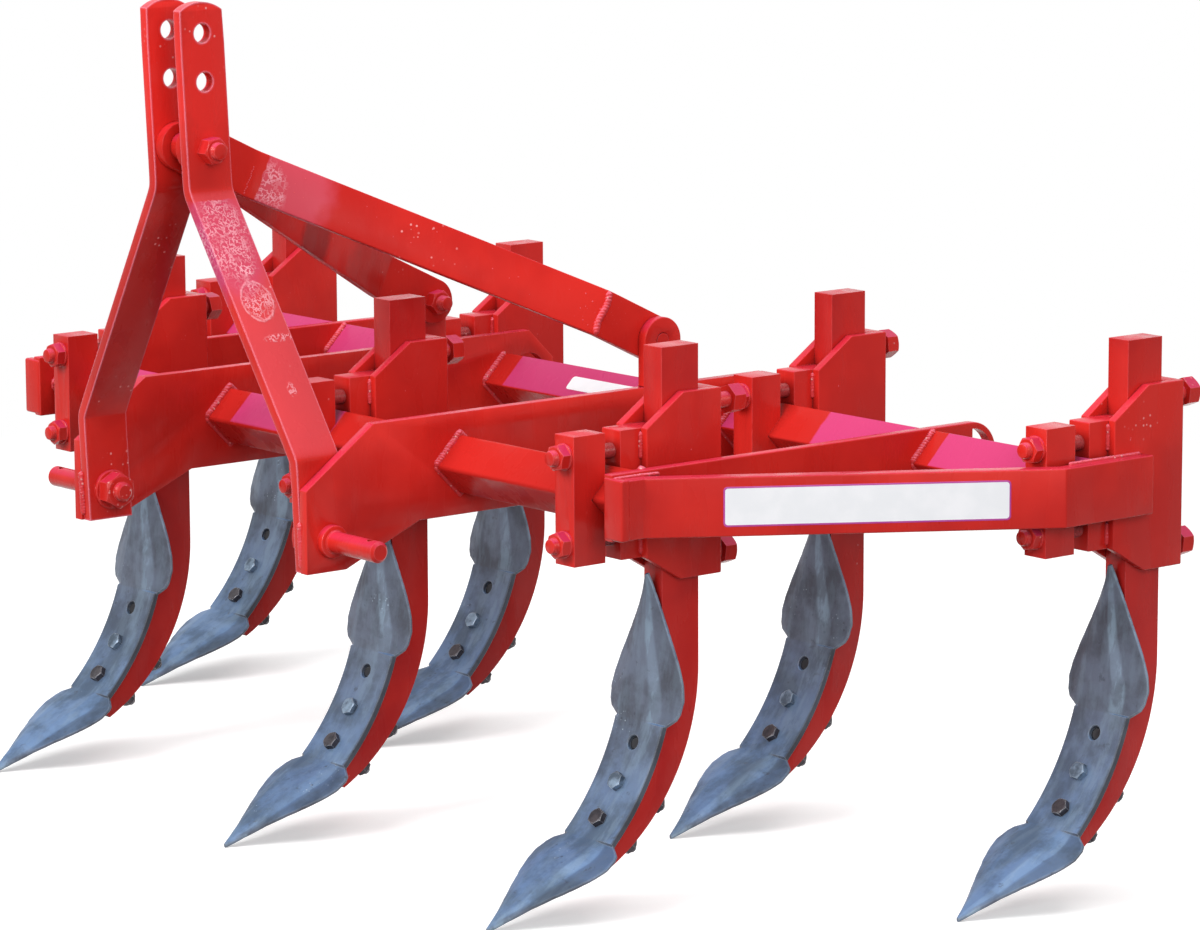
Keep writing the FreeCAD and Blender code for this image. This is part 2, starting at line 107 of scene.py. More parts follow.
def minus(tree, first, second):
    return maths(tree, "SUBTRACT", first, second)


def vectors(tree, operation, first, second=None, result="Vector"):
    inputs = {0: first} if second is None else {0: first, 1: second}
    return addNode(tree, "VectorMath", {"operation": operation}, inputs).outputs[result]


def placeOn(tree):
    return addNode(tree, "TexCoord").outputs["Object"]


# How far a face looks up: the z of its true normal.
def upwardShare(tree):
    normal = addNode(tree, "NewGeometry").outputs["True Normal"]
    return addNode(tree, "SeparateXYZ", None, {0: normal}).outputs["Z"]


# Noise between zero and one at a place, scale in cycles a metre.
def noiseAt(tree, place, scale, detail=4.0, rough=0.55):
    return addNode(tree, "TexNoise", None,
                   {"Vector": place, "Scale": scale, "Detail": detail,
                    "Roughness": rough}).outputs["Fac"]


# Smooth step of a value between low and high, from outLow to outHigh.
def stepBetween(tree, value, low, high, outLow=0.0, outHigh=1.0):
    return addNode(tree, "MapRange", {"interpolation_type": "SMOOTHSTEP"},
                   {"Value": value, "From Min": low, "From Max": high, "To Min": outLow,
                    "To Max": outHigh}).outputs["Result"]


def mixColors(tree, amount, first, second):
    inputs = {6: first, 7: second}
    inputs = {k: (*v, 1.0) if isinstance(v, tuple) else v for k, v in inputs.items()}
    return addNode(tree, "Mix", {"data_type": "RGBA"}, {0: amount, **inputs}).outputs[2]


# The colour with a tint laid over it where the mask is, by an amount.
def tinted(tree, color, mask, amount, tint):
    return mixColors(tree, times(tree, mask, amount), color, tint)


# The same over edges, a painted highlight and wear, rounded by a radius in millimetres and broken
# up.
def highlightAndWearTinted(tree, color, radius, broken, amount, tint):
    edgeSheenAndWear = useGroup(tree, "edgeSheenAndWear", {"Radius": radius / 1000.0, "Break": broken})
    return tinted(tree, color, edgeSheenAndWear["Mask"], amount, tint)


# Mask of convex edges for a painted highlight and wear: how far the rounded normal turns from the
# true one, broken by noise.
def edgeHighlightAndWearGroup():
    tree, given, result = newGroup("edge sheen and scuffing", {"Radius": 0.0012, "Break": 0.5}, ["Mask"])
    place = placeOn(tree)
    rounded = addNode(tree, "Bevel", {"samples": 4},
                      {"Radius": given["Radius"]}).outputs["Normal"]
    true = addNode(tree, "NewGeometry").outputs["Normal"]
    bend = minus(tree, 1.0, vectors(tree, "DOT_PRODUCT", rounded, true, "Value"))
    limit = given["Break"]
    kept = stepBetween(tree, noiseAt(tree, place, 60.0), minus(tree, limit, 0.15), limit)
    tree.links.new(times(tree, stepBetween(tree, bend, 0.01, 0.12), kept), result["Mask"])
    return tree


# Orange peel and runs as a height, with slow and fine tone changes as masks.
def paintSkinGroup():
    tree, given, result = newGroup("paint skin", {"Peel": 260.0, "Runs": 1.0},
                                   ["Height", "Slow", "Fine"])
    place = placeOn(tree)
    peel = noiseAt(tree, place, given["Peel"], 2.0)
    drawn = addNode(tree, "Mapping", None, {"Vector": place, "Scale": (1.0, 1.0, 0.22)})
    runs = noiseAt(tree, drawn.outputs["Vector"], 34.0, 3.0)
    wide = noiseAt(tree, place, 9.0, 3.0)
    height = plus(tree, times(tree, peel, 0.35), times(tree, runs, given["Runs"]))
    tree.links.new(height, result["Height"])
    tree.links.new(stepBetween(tree, wide, 0.36, 0.66), result["Slow"])
    tree.links.new(stepBetween(tree, runs, 0.38, 0.62), result["Fine"])
    return tree


# Small droplets of paint and dust: the middles of a few cells, only where a slow noise is high.
def speckleGroup():
    tree, given, result = newGroup("speckle", {"Scale": 190.0, "Cover": 0.6}, ["Mask"])
    place = placeOn(tree)
    cells = addNode(tree, "TexVoronoi", {"feature": "F1"},
                    {"Vector": place, "Scale": given["Scale"], "Randomness": 1.0}).outputs
    dots = stepBetween(tree, cells["Distance"], 0.16, 0.3, 1.0, 0.0)
    chosen = addNode(tree, "SeparateColor", None, {"Color": cells["Color"]}).outputs["Red"]
    dots = times(tree, dots, stepBetween(tree, chosen, 0.66, 0.74))
    limit = given["Cover"]
    zone = stepBetween(tree, noiseAt(tree, place, 11.0, 3.0), limit, plus(tree, limit, 0.08))
    tree.links.new(times(tree, dots, zone), result["Mask"])
    return tree


# Blistered paint: ragged pale islands and lines from two warped noises.
def blisterGroup():
    tree, given, result = newGroup("blister", {"Coarse": 95.0, "Fine": 190.0}, ["Mask"])
    place = placeOn(tree)
    coarse = noiseAt(tree, place, given["Coarse"], 3.0, 0.6)
    fine = noiseAt(tree, place, given["Fine"], 2.0, 0.6)
    # a thin line runs wherever the fine noise passes its middle
    ridge = maths(tree, "ABSOLUTE", minus(tree, fine, 0.5))
    lines = stepBetween(tree, ridge, 0.025, 0.075, 1.0, 0.0)
    zone = stepBetween(tree, coarse, 0.38, 0.55, 0.35, 1.0)
    tree.links.new(times(tree, lines, zone), result["Mask"])
    return tree


# Scale and hammer marks of forged steel: slow clouds, drawn streaks and ragged smudges.
def forgedSkinGroup():
    tree, given, result = newGroup("forged skin", {"Scale": 1.0},
                                   ["Height", "Cloud", "Streak", "Smudge"])
    sized = addNode(tree, "VectorMath", {"operation": "SCALE"},
                    {0: placeOn(tree), "Scale": given["Scale"]}).outputs["Vector"]
    cloud = noiseAt(tree, sized, 19.0, 5.0, 0.62)
    fine = noiseAt(tree, sized, 260.0, 3.0)
    drawn = addNode(tree, "Mapping", None, {"Vector": sized, "Scale": (7.0, 26.0, 7.0),
                                            "Rotation": (0.0, 0.5, 0.0)})
    streak = noiseAt(tree, drawn.outputs["Vector"], 3.2, 5.0, 0.65)
    smudge = stepBetween(tree, noiseAt(tree, sized, 62.0, 6.0, 0.72), 0.6, 0.68)
    height = plus(tree, times(tree, cloud, 0.8), times(tree, fine, 0.3))
    height = minus(tree, height, times(tree, smudge, 0.25))
    tree.links.new(height, result["Height"])
    tree.links.new(stepBetween(tree, cloud, 0.36, 0.64), result["Cloud"])
    tree.links.new(stepBetween(tree, streak, 0.42, 0.64), result["Streak"])
    tree.links.new(smudge, result["Smudge"])
    return tree


groups = {"edgeSheenAndWear": edgeHighlightAndWearGroup(), "skin": paintSkinGroup(), "speckle": speckleGroup(),
          "forged": forgedSkinGroup(), "blister": blisterGroup()}


def useGroup(tree, name, inputs=None):
    node = tree.nodes.new("ShaderNodeGroup")
    node.node_tree = groups[name]
    for key, value in (inputs or {}).items():
        node.inputs[key].default_value = value
    return node.outputs


def newMaterial(name):
    material = bpy.data.materials.new(name)
    material.use_nodes = True
    return material, material.node_tree


# Links colour, gloss and a bump of strength and distance from a height, and sets plain sockets.
def finishMaterial(material, color, gloss=None, height=None, bump=(0.0, 0.0), plain=None):
    tree = material.node_tree
    shader = tree.nodes["Principled BSDF"]
    tree.links.new(color, shader.inputs["Base Color"])
    if gloss:
        tree.links.new(gloss, shader.inputs["Roughness"])
    if height:
        relief = addNode(tree, "Bump", None,
                         {"Strength": bump[0], "Distance": bump[1], "Height": height})
        tree.links.new(relief.outputs["Normal"], shader.inputs["Normal"])
    for label, value in (plain or {}).items():
        shader.inputs[label].default_value = value
    return material


# Place from a centre given in millimetres, each direction divided by its reach.
def placeFrom(tree, centre, reaches):
    place = placeOn(tree)
    moved = vectors(tree, "SUBTRACT", place, (np.asarray(centre) / 1000.0 + origin).tolist())
    return place, vectors(tree, "DIVIDE", moved, (np.asarray(reaches) / 1000.0).tolist())


# Mask of one around a centre, falling to zero at its reaches; a ring keeps only its rim, and a
# fold, a point with a direction, ends it sharply behind that point.
def patchMask(tree, centre, reaches, ragged=0.5, ring=False, fold=None):
    place, sized = placeFrom(tree, centre, reaches)
    far = vectors(tree, "LENGTH", sized, None, "Value")
    far = plus(tree, far, times(tree, noiseAt(tree, place, 90.0), ragged))
    limit = 1.0 + ragged * 0.5
    if ring:
        off = maths(tree, "ABSOLUTE", minus(tree, far, limit))
        broken = stepBetween(tree, noiseAt(tree, place, 210.0), 0.38, 0.56, 0.2, 1.0)
        return times(tree, stepBetween(tree, off, 0.02, 0.09, 1.0, 0.0), broken)
    mask = stepBetween(tree, far, limit - 0.4, limit, 1.0, 0.0)
    if fold:
        moved = placeFrom(tree, fold[0], (1.0, 1.0, 1.0))[1]
        past = vectors(tree, "DOT_PRODUCT", moved, fold[1], "Value")
        past = plus(tree, past, times(tree, noiseAt(tree, place, 160.0), 5.0))
        mask = times(tree, mask, stepBetween(tree, past, 2.0, 3.5))
    return mask


# Mask of one within the reaches of x and y, with crisp sides, at any height, for painted shade.
def shadeBandMask(tree, x, y, reachX, reachY):
    place, sized = placeFrom(tree, (x, y, 0.0), (reachX, reachY, 1000.0))
    parts = addNode(tree, "SeparateXYZ", None, {0: vectors(tree, "ABSOLUTE", sized)}).outputs
    far = maths(tree, "MAXIMUM", parts["X"], parts["Y"])
    far = plus(tree, far, times(tree, noiseAt(tree, place, 70.0), 0.08))
    return stepBetween(tree, far, 1.01, 1.06, 1.0, 0.0)


# materials
# Enamel: red and a deeper red mixed by slow noise, with a painted sky reflection on faces that
# look up, paler edges that are a painted highlight and wear, and painted shade in crevices. Blooms
# are places of another tint, crusts where it is blistered and pale, rings thin pale rims, and bands
# are painted shade, darker and without the sky reflection. A place is a centre, its reaches, a tint
# in blooms, an amount and sometimes a fold; a band is a middle and two reaches in x and y.
def paintMaterial(name, red, deep, top, skyReflectionAmount=0.0, speckle=0.55, rough=0.26, bump=0.1,
                  edge=0.55, edgeHighlightColor=(0.8, 0.12, 0.13), edgeBreak=0.45, edgeWide=1.4, shine=0.13,
                  blooms=(), crusts=(), rings=(), shadeBands=(), shadeColor=(0.5, 0.019, 0.015)):
    material, tree = newMaterial(name)
    skin = useGroup(tree, "skin")
    color = mixColors(tree, skin["Slow"], deep, red)
    for centre, reaches, tint, amount, *fold in blooms:
        mask = patchMask(tree, centre, reaches, 0.25, False, *fold)
        color = tinted(tree, color, mask, amount, tint)
    # painted sky reflection: faces that look up take the third colour, by its amount
    skyReflectionMask = times(tree, stepBetween(tree, upwardShare(tree), 0.3, 0.7), skyReflectionAmount)
    # painted shade: inside each band the sky reflection is left out and a darker colour laid on
    for band in shadeBands:
        inside = shadeBandMask(tree, *band)
        skyReflectionMask = times(tree, skyReflectionMask, minus(tree, 1.0, inside))
        color = tinted(tree, color, inside, 0.8, shadeColor)
    color = mixColors(tree, skyReflectionMask, color, top)
    # paler edges: a painted highlight and worn paint
    color = highlightAndWearTinted(tree, color, edgeWide, edgeBreak, edge, edgeHighlightColor)
    spots = useGroup(tree, "speckle", {"Cover": speckle})["Mask"]
    color = tinted(tree, color, spots, 0.75, (0.93, 0.42, 0.42))
    raised = plus(tree, skin["Height"], times(tree, spots, 0.8))
    # painted shade: crevices darkened by ambient occlusion
    crevice = addNode(tree, "AmbientOcclusion", {"samples": 6}, {"Distance": 0.04}).outputs["AO"]
    creviceShade = stepBetween(tree, crevice, 0.1, 0.5, 0.8, 0.0)
    color = mixColors(tree, creviceShade, color, (0.1, 0.006, 0.006))
    marks = [(patchMask(tree, *place, 0.25, True), amount) for *place, amount in rings]
    if crusts:
        blister = useGroup(tree, "blister")["Mask"]
        for centre, reaches, amount, *fold in crusts:
            mask = patchMask(tree, centre, reaches, 0.5, False, *fold)
            marks.append((times(tree, mask, blister), amount))
    for mask, amount in marks:
        color = tinted(tree, color, mask, amount, (0.93, 0.47, 0.54))
        raised = plus(tree, raised, times(tree, mask, 2.0))
    gloss = stepBetween(tree, skin["Fine"], 0.0, 1.0, rough - 0.05, rough + 0.1)
    return finishMaterial(material, color, gloss, raised, (bump, 0.002),
                          {"Specular IOR Level": shine, "Coat Weight": shine * 0.27,
                           "Coat Roughness": 0.12})


# Bare forged steel: blue grey, lighter and bluer where faces look up as painted sky light, darker
# in clouds and smudges, with dark chips and pale flecks; the mesh's own attribute says where it is
# brighter (above zero), mostly a painted highlight, or darker (below zero), a painted shade.
def shovelMaterial(name):
    material, tree = newMaterial(name)
    skin = useGroup(tree, "forged")
    # painted sky light: faces that look up are lighter and bluer
    skyFacingShare = stepBetween(tree, upwardShare(tree), 0.1, 0.95)
    dark = mixColors(tree, skyFacingShare, (0.05, 0.056, 0.078), (0.055, 0.098, 0.17))
    light = mixColors(tree, skyFacingShare, (0.104, 0.127, 0.182), (0.116, 0.212, 0.395))
    color = mixColors(tree, skin["Cloud"], dark, light)
    color = tinted(tree, color, skin["Streak"], 0.2, (0.2, 0.28, 0.36))
    color = tinted(tree, color, skin["Smudge"], 0.55, (0.03, 0.036, 0.055))
    for scale, cover, amount, tint in ((150.0, 0.56, 0.6, (0.02, 0.024, 0.04)),
                                       (300.0, 0.6, 0.55, (0.5, 0.6, 0.7))):
        chips = useGroup(tree, "speckle", {"Scale": scale, "Cover": cover})["Mask"]
        color = tinted(tree, color, chips, amount, tint)
    wearSheenAndShade = addNode(tree, "Attribute", {"attribute_name": "wearSheenAndShade"}).outputs["Fac"]
    # painted highlight: brighter where the attribute is above zero
    bright = times(tree, wearSheenAndShade, stepBetween(tree, skin["Streak"], 0.0, 0.7, 0.45, 1.0), True)
    color = mixColors(tree, bright, color, (0.3, 0.43, 0.55))
    # painted shade: nearly black where the attribute is below zero
    color = mixColors(tree, times(tree, wearSheenAndShade, -1.0, True), color, (0.008, 0.008, 0.011))
    color = highlightAndWearTinted(tree, color, 1.3, 0.42, 0.3, (0.5, 0.56, 0.62))
    gloss = stepBetween(tree, skin["Cloud"], 0.0, 1.0, 0.6, 0.46)
    return finishMaterial(material, color, gloss, skin["Height"], (0.4, 0.0016), {"Metallic": 0.2})


# Plated steel: bluish on the upper bolts, nearly black on the lower ones.
def boltMaterial(name):
    material, tree = newMaterial(name)
    skin = useGroup(tree, "forged", {"Scale": 3.0})
    rise = addNode(tree, "SeparateXYZ", None, {0: placeOn(tree)}).outputs["Z"]
    split = origin[2] + shovelBoltSplit / 1000.0
    upper = stepBetween(tree, rise, split - 0.004, split + 0.004)
    dark = mixColors(tree, upper, (0.022, 0.02, 0.026), (0.06, 0.085, 0.12))
    light = mixColors(tree, upper, (0.07, 0.062, 0.07), (0.24, 0.33, 0.44))
    color = mixColors(tree, skin["Cloud"], dark, light)
    color = highlightAndWearTinted(tree, color, 0.8, 0.35, 0.7, (0.55, 0.58, 0.62))
    gloss = stepBetween(tree, skin["Cloud"], 0.0, 1.0, 0.6, 0.38)
    return finishMaterial(material, color, gloss, skin["Height"], (0.25, 0.0008), {"Metallic": 0.5})


# Film: one colour slowly varied by noise, with a faint grain in its gloss.
def filmMaterial(name, first, second):
    material, tree = newMaterial(name)
    place = placeOn(tree)
    color = mixColors(tree, stepBetween(tree, noiseAt(tree, place, 30.0), 0.35, 0.7), first, second)
    gloss = stepBetween(tree, noiseAt(tree, place, 300.0), 0.3, 0.7, 0.3, 0.42)
    return finishMaterial(material, color, gloss)


shovelBoltSplit = -313.0     # between the upper and lower shovel bolts, from the tube's centre
red = (0.68, 0.026, 0.019)
deep = (0.56, 0.019, 0.015)
# the pink that faces looking up take: a painted sky reflection
skyReflectionPink = (0.56, 0.035, 0.13)
# the blistered paint starts right under the strap's upper bend and past the brace's
strapFold = ((230.0, 42.0, 273.0), (0.0, 0.0, -1.0))
braceFold = ((174.5, 30.0, 289.6), (-0.9, 0.0, -0.435))
# in each paint the third colour and the amount after it are a painted sky reflection on faces that
# look up
materials = {
    "frame": paintMaterial("red enamel on flat bar", red, deep, skyReflectionPink, 0.35, speckle=0.72),
    "strap": paintMaterial(
        "red enamel on mast strap", red, deep, (0.68, 0.078, 0.1), 0.9, bump=0.2,
        edge=0.9, edgeHighlightColor=(0.86, 0.3, 0.4), edgeBreak=0.3, edgeWide=3.2,
        blooms=(((245.0, 66.0, 232.0), (44.0, 70.0, 90.0), (0.52, 0.06, 0.22), 0.6, strapFold),
                ((236.0, -115.0, 140.0), (80.0, 110.0, 190.0), (0.44, 0.018, 0.015), 0.7),
                ((240.0, 0.0, 410.0), (70.0, 70.0, 130.0), (0.85, 0.03, 0.024), 0.8)),
        crusts=(((246.0, 66.0, 236.0), (34.0, 46.0, 70.0), 0.55, strapFold),
                ((235.5, 104.3, 174.0), (22.0, 20.0, 28.0), 0.6),
                ((236.0, 85.0, 205.0), (10.0, 9.0, 9.0), 0.7),
                ((225.0, 127.0, 138.0), (22.0, 7.0, 5.0), 0.6),
                ((233.0, 158.0, 89.0), (6.0, 7.0, 11.0), 0.6)),
        rings=(((236.5, 104.3, 174.0), (18.5, 18.0, 25.0), 0.45),)),
    # on the braces the pink bloom past the fold is a painted highlight; on the right brace the
    # bright red bloom is painted light and the small dark one painted shade
    "brace": paintMaterial(
        "red enamel on brace", red, deep, skyReflectionPink, 0.1, speckle=0.6, shine=0.05,
        blooms=(((158.0, 38.0, 280.0), (72.0, 60.0, 72.0), (0.7, 0.11, 0.17), 0.58, braceFold),
                ((0.0, -105.0, 200.0), (300.0, 60.0, 160.0), (0.95, 0.024, 0.016), 0.8),
                ((7.0, -109.0, 197.0), (38.0, 40.0, 60.0), (0.2, 0.015, 0.015), 0.6)),
        crusts=(((172.0, 33.0, 278.0), (26.0, 22.0, 38.0), 0.6, braceFold),)),
    # on the toolbars the sky reflection is painted strongly, and the bands along them, mostly
    # beside the plates, are painted shade
    "tube": paintMaterial(
        "red enamel on toolbar", red, deep, (0.58, 0.05, 0.17), 1.0, 0.7, bump=0.04, shine=0.05,
        shadeBands=((60.0, 385.0, 60.0, 174.0), (60.0, 107.0, 60.0, 92.0), (60.0, -178.0, 60.0, 22.0),
               (-324.0, 528.0, 60.0, 11.0), (-324.0, -182.0, 60.0, 17.0),
               (-324.0, 298.0, 60.0, 59.0))),
    "clamp": paintMaterial("red enamel on clamp plate", red, deep, skyReflectionPink, 0.25, speckle=0.6),
    "shank": paintMaterial("red enamel on forged bar", (0.6, 0.024, 0.019), (0.48, 0.017, 0.016),
                           skyReflectionPink, 0.2, speckle=0.66, bump=0.16),
    # painted shade darkens the studs between bracket and block
    "fastener": paintMaterial(
        "red enamel on bolts", red, deep, skyReflectionPink, 0.7, bump=0.2, edge=0.8,
        shadeBands=((74.0, 0.0, 20.0, 2000.0), (-310.0, 0.0, 20.0, 2000.0)),
        shadeColor=(0.09, 0.005, 0.005)),
    "pin": paintMaterial("red enamel on turned pin", red, deep, skyReflectionPink, 0.4, edge=0.7),
    "weld": paintMaterial("red enamel on weld", (0.7, 0.06, 0.07), (0.54, 0.03, 0.035),
                          (0.8, 0.2, 0.3), 0.6, speckle=0.35, rough=0.34, bump=0.6, edge=0.9),
    "shovel": shovelMaterial("forged blue grey steel"),
    "shovelBolt": boltMaterial("dull plated steel"),
    "label": filmMaterial("white film", (0.87, 0.88, 0.91), (0.93, 0.93, 0.96)),
    "labelRim": filmMaterial("purple film edge", (0.42, 0.04, 0.3), (0.48, 0.06, 0.33)),
}
print("materials made:", len(materials))


# mesh helpers
# Closed skin over rings of points, shape (rings, points, 3), with a flat face at each end.
def ringShell(rings):
    count, around = rings.shape[:2]
    index = np.arange(count * around).reshape(count, around)
    near, far = index[:-1], index[1:]
    quads = np.stack([near, np.roll(near, -1, 1), np.roll(far, -1, 1), far], -1).reshape(-1, 4)
    faces = quads.tolist() + [index[0][::-1].tolist(), index[-1].tolist()]
    verts = rings.reshape(-1, 3)
    a, b, c, d = (verts[quads[:, k]] for k in range(4))
    volume = np.einsum("ij,ij->", a, np.cross(b, c)) + np.einsum("ij,ij->", a, np.cross(c, d))
    for ring, sign in ((rings[0], -1.0), (rings[-1], 1.0)):
        volume += sign * np.einsum("ij,ij->", np.broadcast_to(ring[0], ring[1:-1].shape),
                                   np.cross(ring[1:-1], ring[2:]))
    if volume < 0:
        faces = [face[::-1] for face in faces]
    return verts, faces


# One shell from several, each one's face numbers moved past the points before it.
def joined(shells):
    verts, faces, start = [], [], 0
    for points, polygons in shells:
        verts.append(points)
        faces += [[index + start for index in face] for face in polygons]
        start += len(points)
    return np.concatenate(verts), faces


def linked(name, data):
    thing = bpy.data.objects.new(name, data)
    bpy.context.scene.collection.objects.link(thing)
    return thing


# One object at the origin from closed shells in millimetres, riding on the frame. With an ending
# to its name it stands for the CAD node of the name before it.
def addPiece(name, shells, paint, ending="", sharp=30.0):
    verts, faces = joined(shells)
    mesh = bpy.data.meshes.new(name + ending)
    mesh.from_pydata((verts / 1000.0 + origin).tolist(), [], faces)
    mesh.shade_smooth()
    mesh.set_sharp_from_angle(angle=math.radians(sharp))
    mesh.materials.append(materials[paint])
    piece = linked(name + ending, mesh)
    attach(piece, "root")
    if ending:
        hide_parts(name)
    return piece


# The same piece on each tine, from shells made for its name and number.
def addOnTines(node, ending, makeShells, paint, sharp):
    pieces = []
    for number, (tine, across) in enumerate(layout["tines"].items()):
        place = np.array([rowX(tine), across, 0.0])
        shells = [(verts + place, faces) for verts, faces in makeShells(tine, number)]
        pieces.append(addPiece(node + tine, shells, paint, ending, sharp))
    return pieces


# Two directions square to a given one, right-handed with it.
def axes(way):
    way = np.asarray(way, float) / np.linalg.norm(way)
    other = np.array([0.0, 0.0, 1.0]) if abs(way[2]) < 0.9 else np.array([1.0, 0.0, 0.0])
    first = np.cross(other, way)
    first /= np.linalg.norm(first)
    return first, np.cross(way, first), way


# Angles of evenly spaced points once round.
def fullTurn(steps):
    return np.linspace(0.0, 2.0 * math.pi, steps, endpoint=False)


# Solid of revolution: profile rows are (distance along way, radius).
def turned(start, way, profile, steps=40):
    first, second, along = axes(way)
    angle = fullTurn(steps)
    circle = np.cos(angle)[:, None] * first + np.sin(angle)[:, None] * second
    rows = np.asarray(profile, float)
    return ringShell(np.asarray(start, float) + rows[:, 0, None, None] * along
                     + rows[:, 1, None, None] * circle)


# Hexagon whose corners are cut by a 30 degree cone, so each flat ends in an arc.
def hexSolid(start, way, across, thick, nearCut=True, farCut=True, turn=0.0):
    first, second, along = axes(way)
    angle = fullTurn(72)
    toFlat = np.mod(angle, math.pi / 3.0) - math.pi / 6.0
    reach = across / 2.0 / np.cos(toFlat)
    inner = across * 0.465
    drop = (reach - inner) * math.tan(math.radians(30.0))
    circle = (np.cos(angle + turn)[:, None] * first + np.sin(angle + turn)[:, None] * second)
    flat = np.full(72, inner)
    rows = [(flat, np.zeros(72)), (reach, drop if nearCut else np.zeros(72)),
            (reach, thick - (drop if farCut else 0.0) * np.ones(72)), (flat, np.full(72, thick))]
    return ringShell(np.stack([np.asarray(start, float) + radius[:, None] * circle
                               + height[:, None] * along for radius, height in rows]))


# Radius falls and rises once each pitch, for the screw end that shows past a nut.
def threadRows(low, high, radius, pitch=2.0, depth=0.55):
    height = np.arange(low, high, pitch / 4.0)
    wave = np.abs(((height - low) / pitch) % 1.0 - 0.5) * 2.0
    return [(h, radius - depth * (1.0 - w)) for h, w in zip(height, wave)]


rng = np.random.default_rng(7)


# Weld bead along a polyline: a round cord whose radius swells once each pitch, like scales.
def beadShell(points, radius, pitch=3.2):
    points = np.asarray(points, float)
    legs = np.linalg.norm(np.diff(points, axis=0), axis=1)
    total = legs.sum()
    count = max(8, int(total / 0.9))
    run = np.linspace(0.0, total, count)
    marks = np.concatenate([[0.0], np.cumsum(legs)])
    path = np.stack([np.interp(run, marks, points[:, k]) for k in range(3)], 1)
    way = np.gradient(path, axis=0)
    way /= np.linalg.norm(way, axis=1)[:, None]
    other = np.where(np.abs(way[:, 2:3]) < 0.9, [[0.0, 0.0, 1.0]], [[1.0, 0.0, 0.0]])
    first = np.cross(other, way)
    first /= np.linalg.norm(first, axis=1)[:, None]
    second = np.cross(way, first)
    angle = fullTurn(14)
    lag = run[:, None] + 0.5 * radius * np.cos(angle)[None, :]
    scale = 1.0 + 0.2 * np.abs(np.sin(math.pi * lag / pitch)) + rng.normal(0.0, 0.06, lag.shape)
    ends = np.clip(np.minimum(run, total - run) / radius, 0.0, 1.0)
    swell = radius * scale * np.sqrt(0.06 + 0.94 * ends)[:, None]
    circle = (np.cos(angle)[None, :, None] * first[:, None, :]
              + np.sin(angle)[None, :, None] * second[:, None, :])
    return ringShell(path[:, None, :] + swell[..., None] * circle)


# Corner points of a flat outline replaced by small arcs, each point with its outward normal.
def roundedOutline(corners, radius, steps=4):
    corners = np.asarray(corners, float)
    ahead, behind = np.roll(corners, -1, 0), np.roll(corners, 1, 0)
    area = np.sum(corners[:, 0] * ahead[:, 1] - corners[:, 1] * ahead[:, 0])
    points, normals = [], []
    for here, last, following in zip(corners, behind, ahead):
        first, second = here - last, following - here
        first, second = first / np.linalg.norm(first), second / np.linalg.norm(second)
        left = np.array([[-first[1], first[0]], [-second[1], second[0]]]) * np.sign(area)
        bend = (first[0] * second[1] - first[1] * second[0]) * np.sign(area)
        bulge = np.sign(bend)
        middle = left.sum(0)
        centre = here + bulge * middle * radius / (1.0 + left[0] @ left[1])
        for share in np.linspace(0.0, 1.0, steps):
            normal = -(left[0] * (1.0 - share) + left[1] * share)
            normal /= np.linalg.norm(normal)
            points.append(centre + bulge * normal * radius)
            normals.append(normal)
    return np.array(points), np.array(normals)


# Prism of an (x, z) outline between two y planes with every edge rounded.
def prismShell(corners, low, high, corner=1.6, edge=1.3):
    points, normals = roundedOutline(corners, corner)
    angle = np.linspace(0.0, math.pi / 2.0, 4)
    levels = [(edge * (1.0 - math.sin(a)), low + edge * (1.0 - math.cos(a))) for a in angle]
    levels += [(edge * (1.0 - math.sin(a)), high - edge * (1.0 - math.cos(a))) for a in angle[::-1]]
    rings = []
    for inset, y in levels:
        flat = points - normals * inset
        rings.append(np.stack([flat[:, 0], np.full(len(flat), y), flat[:, 1]], 1))
    return ringShell(np.stack(rings))


# Bent flat bar: at each station a rounded rectangle behind the point on its outer face, across
# wide and thick along minus the normal.
def strapShell(faces, normals, across, halves, thick, edge=1.5):
    quarter = np.linspace(0.0, math.pi / 2.0, 4)
    wide, deep = [], []
    for turn, (sx, sy) in enumerate(((1, 1), (-1, 1), (-1, -1), (1, -1))):
        angle = quarter + turn * math.pi / 2.0
        wide.append(np.stack([np.full(4, sx), edge * (np.cos(angle) - sx)], 1))
        deep.append(sy * (thick / 2.0 - edge) + edge * np.sin(angle) - thick / 2.0)
    wide, deep = np.concatenate(wide), np.concatenate(deep)
    reach = halves[:, None] * wide[None, :, 0]
    reach = reach + wide[None, :, 1] * np.minimum(1.0, halves / 4.0)[:, None]
    return ringShell(faces[:, None, :] + reach[..., None] * np.asarray(across, float)
                     + deep[None, :, None] * normals[:, None, :])


# Smooth ramp that is 0 before its bend and rises at slope 1 after it.
def ramp(value, ease=4.0):
    return 0.5 * (value + np.sqrt(value * value + ease * ease))


# Cuts round holes through a closed shell: the rods are taken away by the exact boolean.
def bored(shell, rods):
    objects = []
    for label, (verts, faces) in (("blank", shell), ("drill", joined(rods))):
        mesh = bpy.data.meshes.new(label)
        mesh.from_pydata((verts / 1000.0).tolist(), [], faces)
        objects.append(linked(label, mesh))
    cut = objects[0].modifiers.new("holes", "BOOLEAN")
    cut.object, cut.operation, cut.solver = objects[1], "DIFFERENCE", "EXACT"
    bpy.context.view_layer.update()
    baked = objects[0].evaluated_get(bpy.context.evaluated_depsgraph_get()).data
    points = np.empty(len(baked.vertices) * 3)
    baked.vertices.foreach_get("co", points)
    faces = [list(face.vertices) for face in baked.polygons]
    for thing in objects:
        bpy.data.objects.remove(thing)
    return points.reshape(-1, 3) * 1000.0, faces


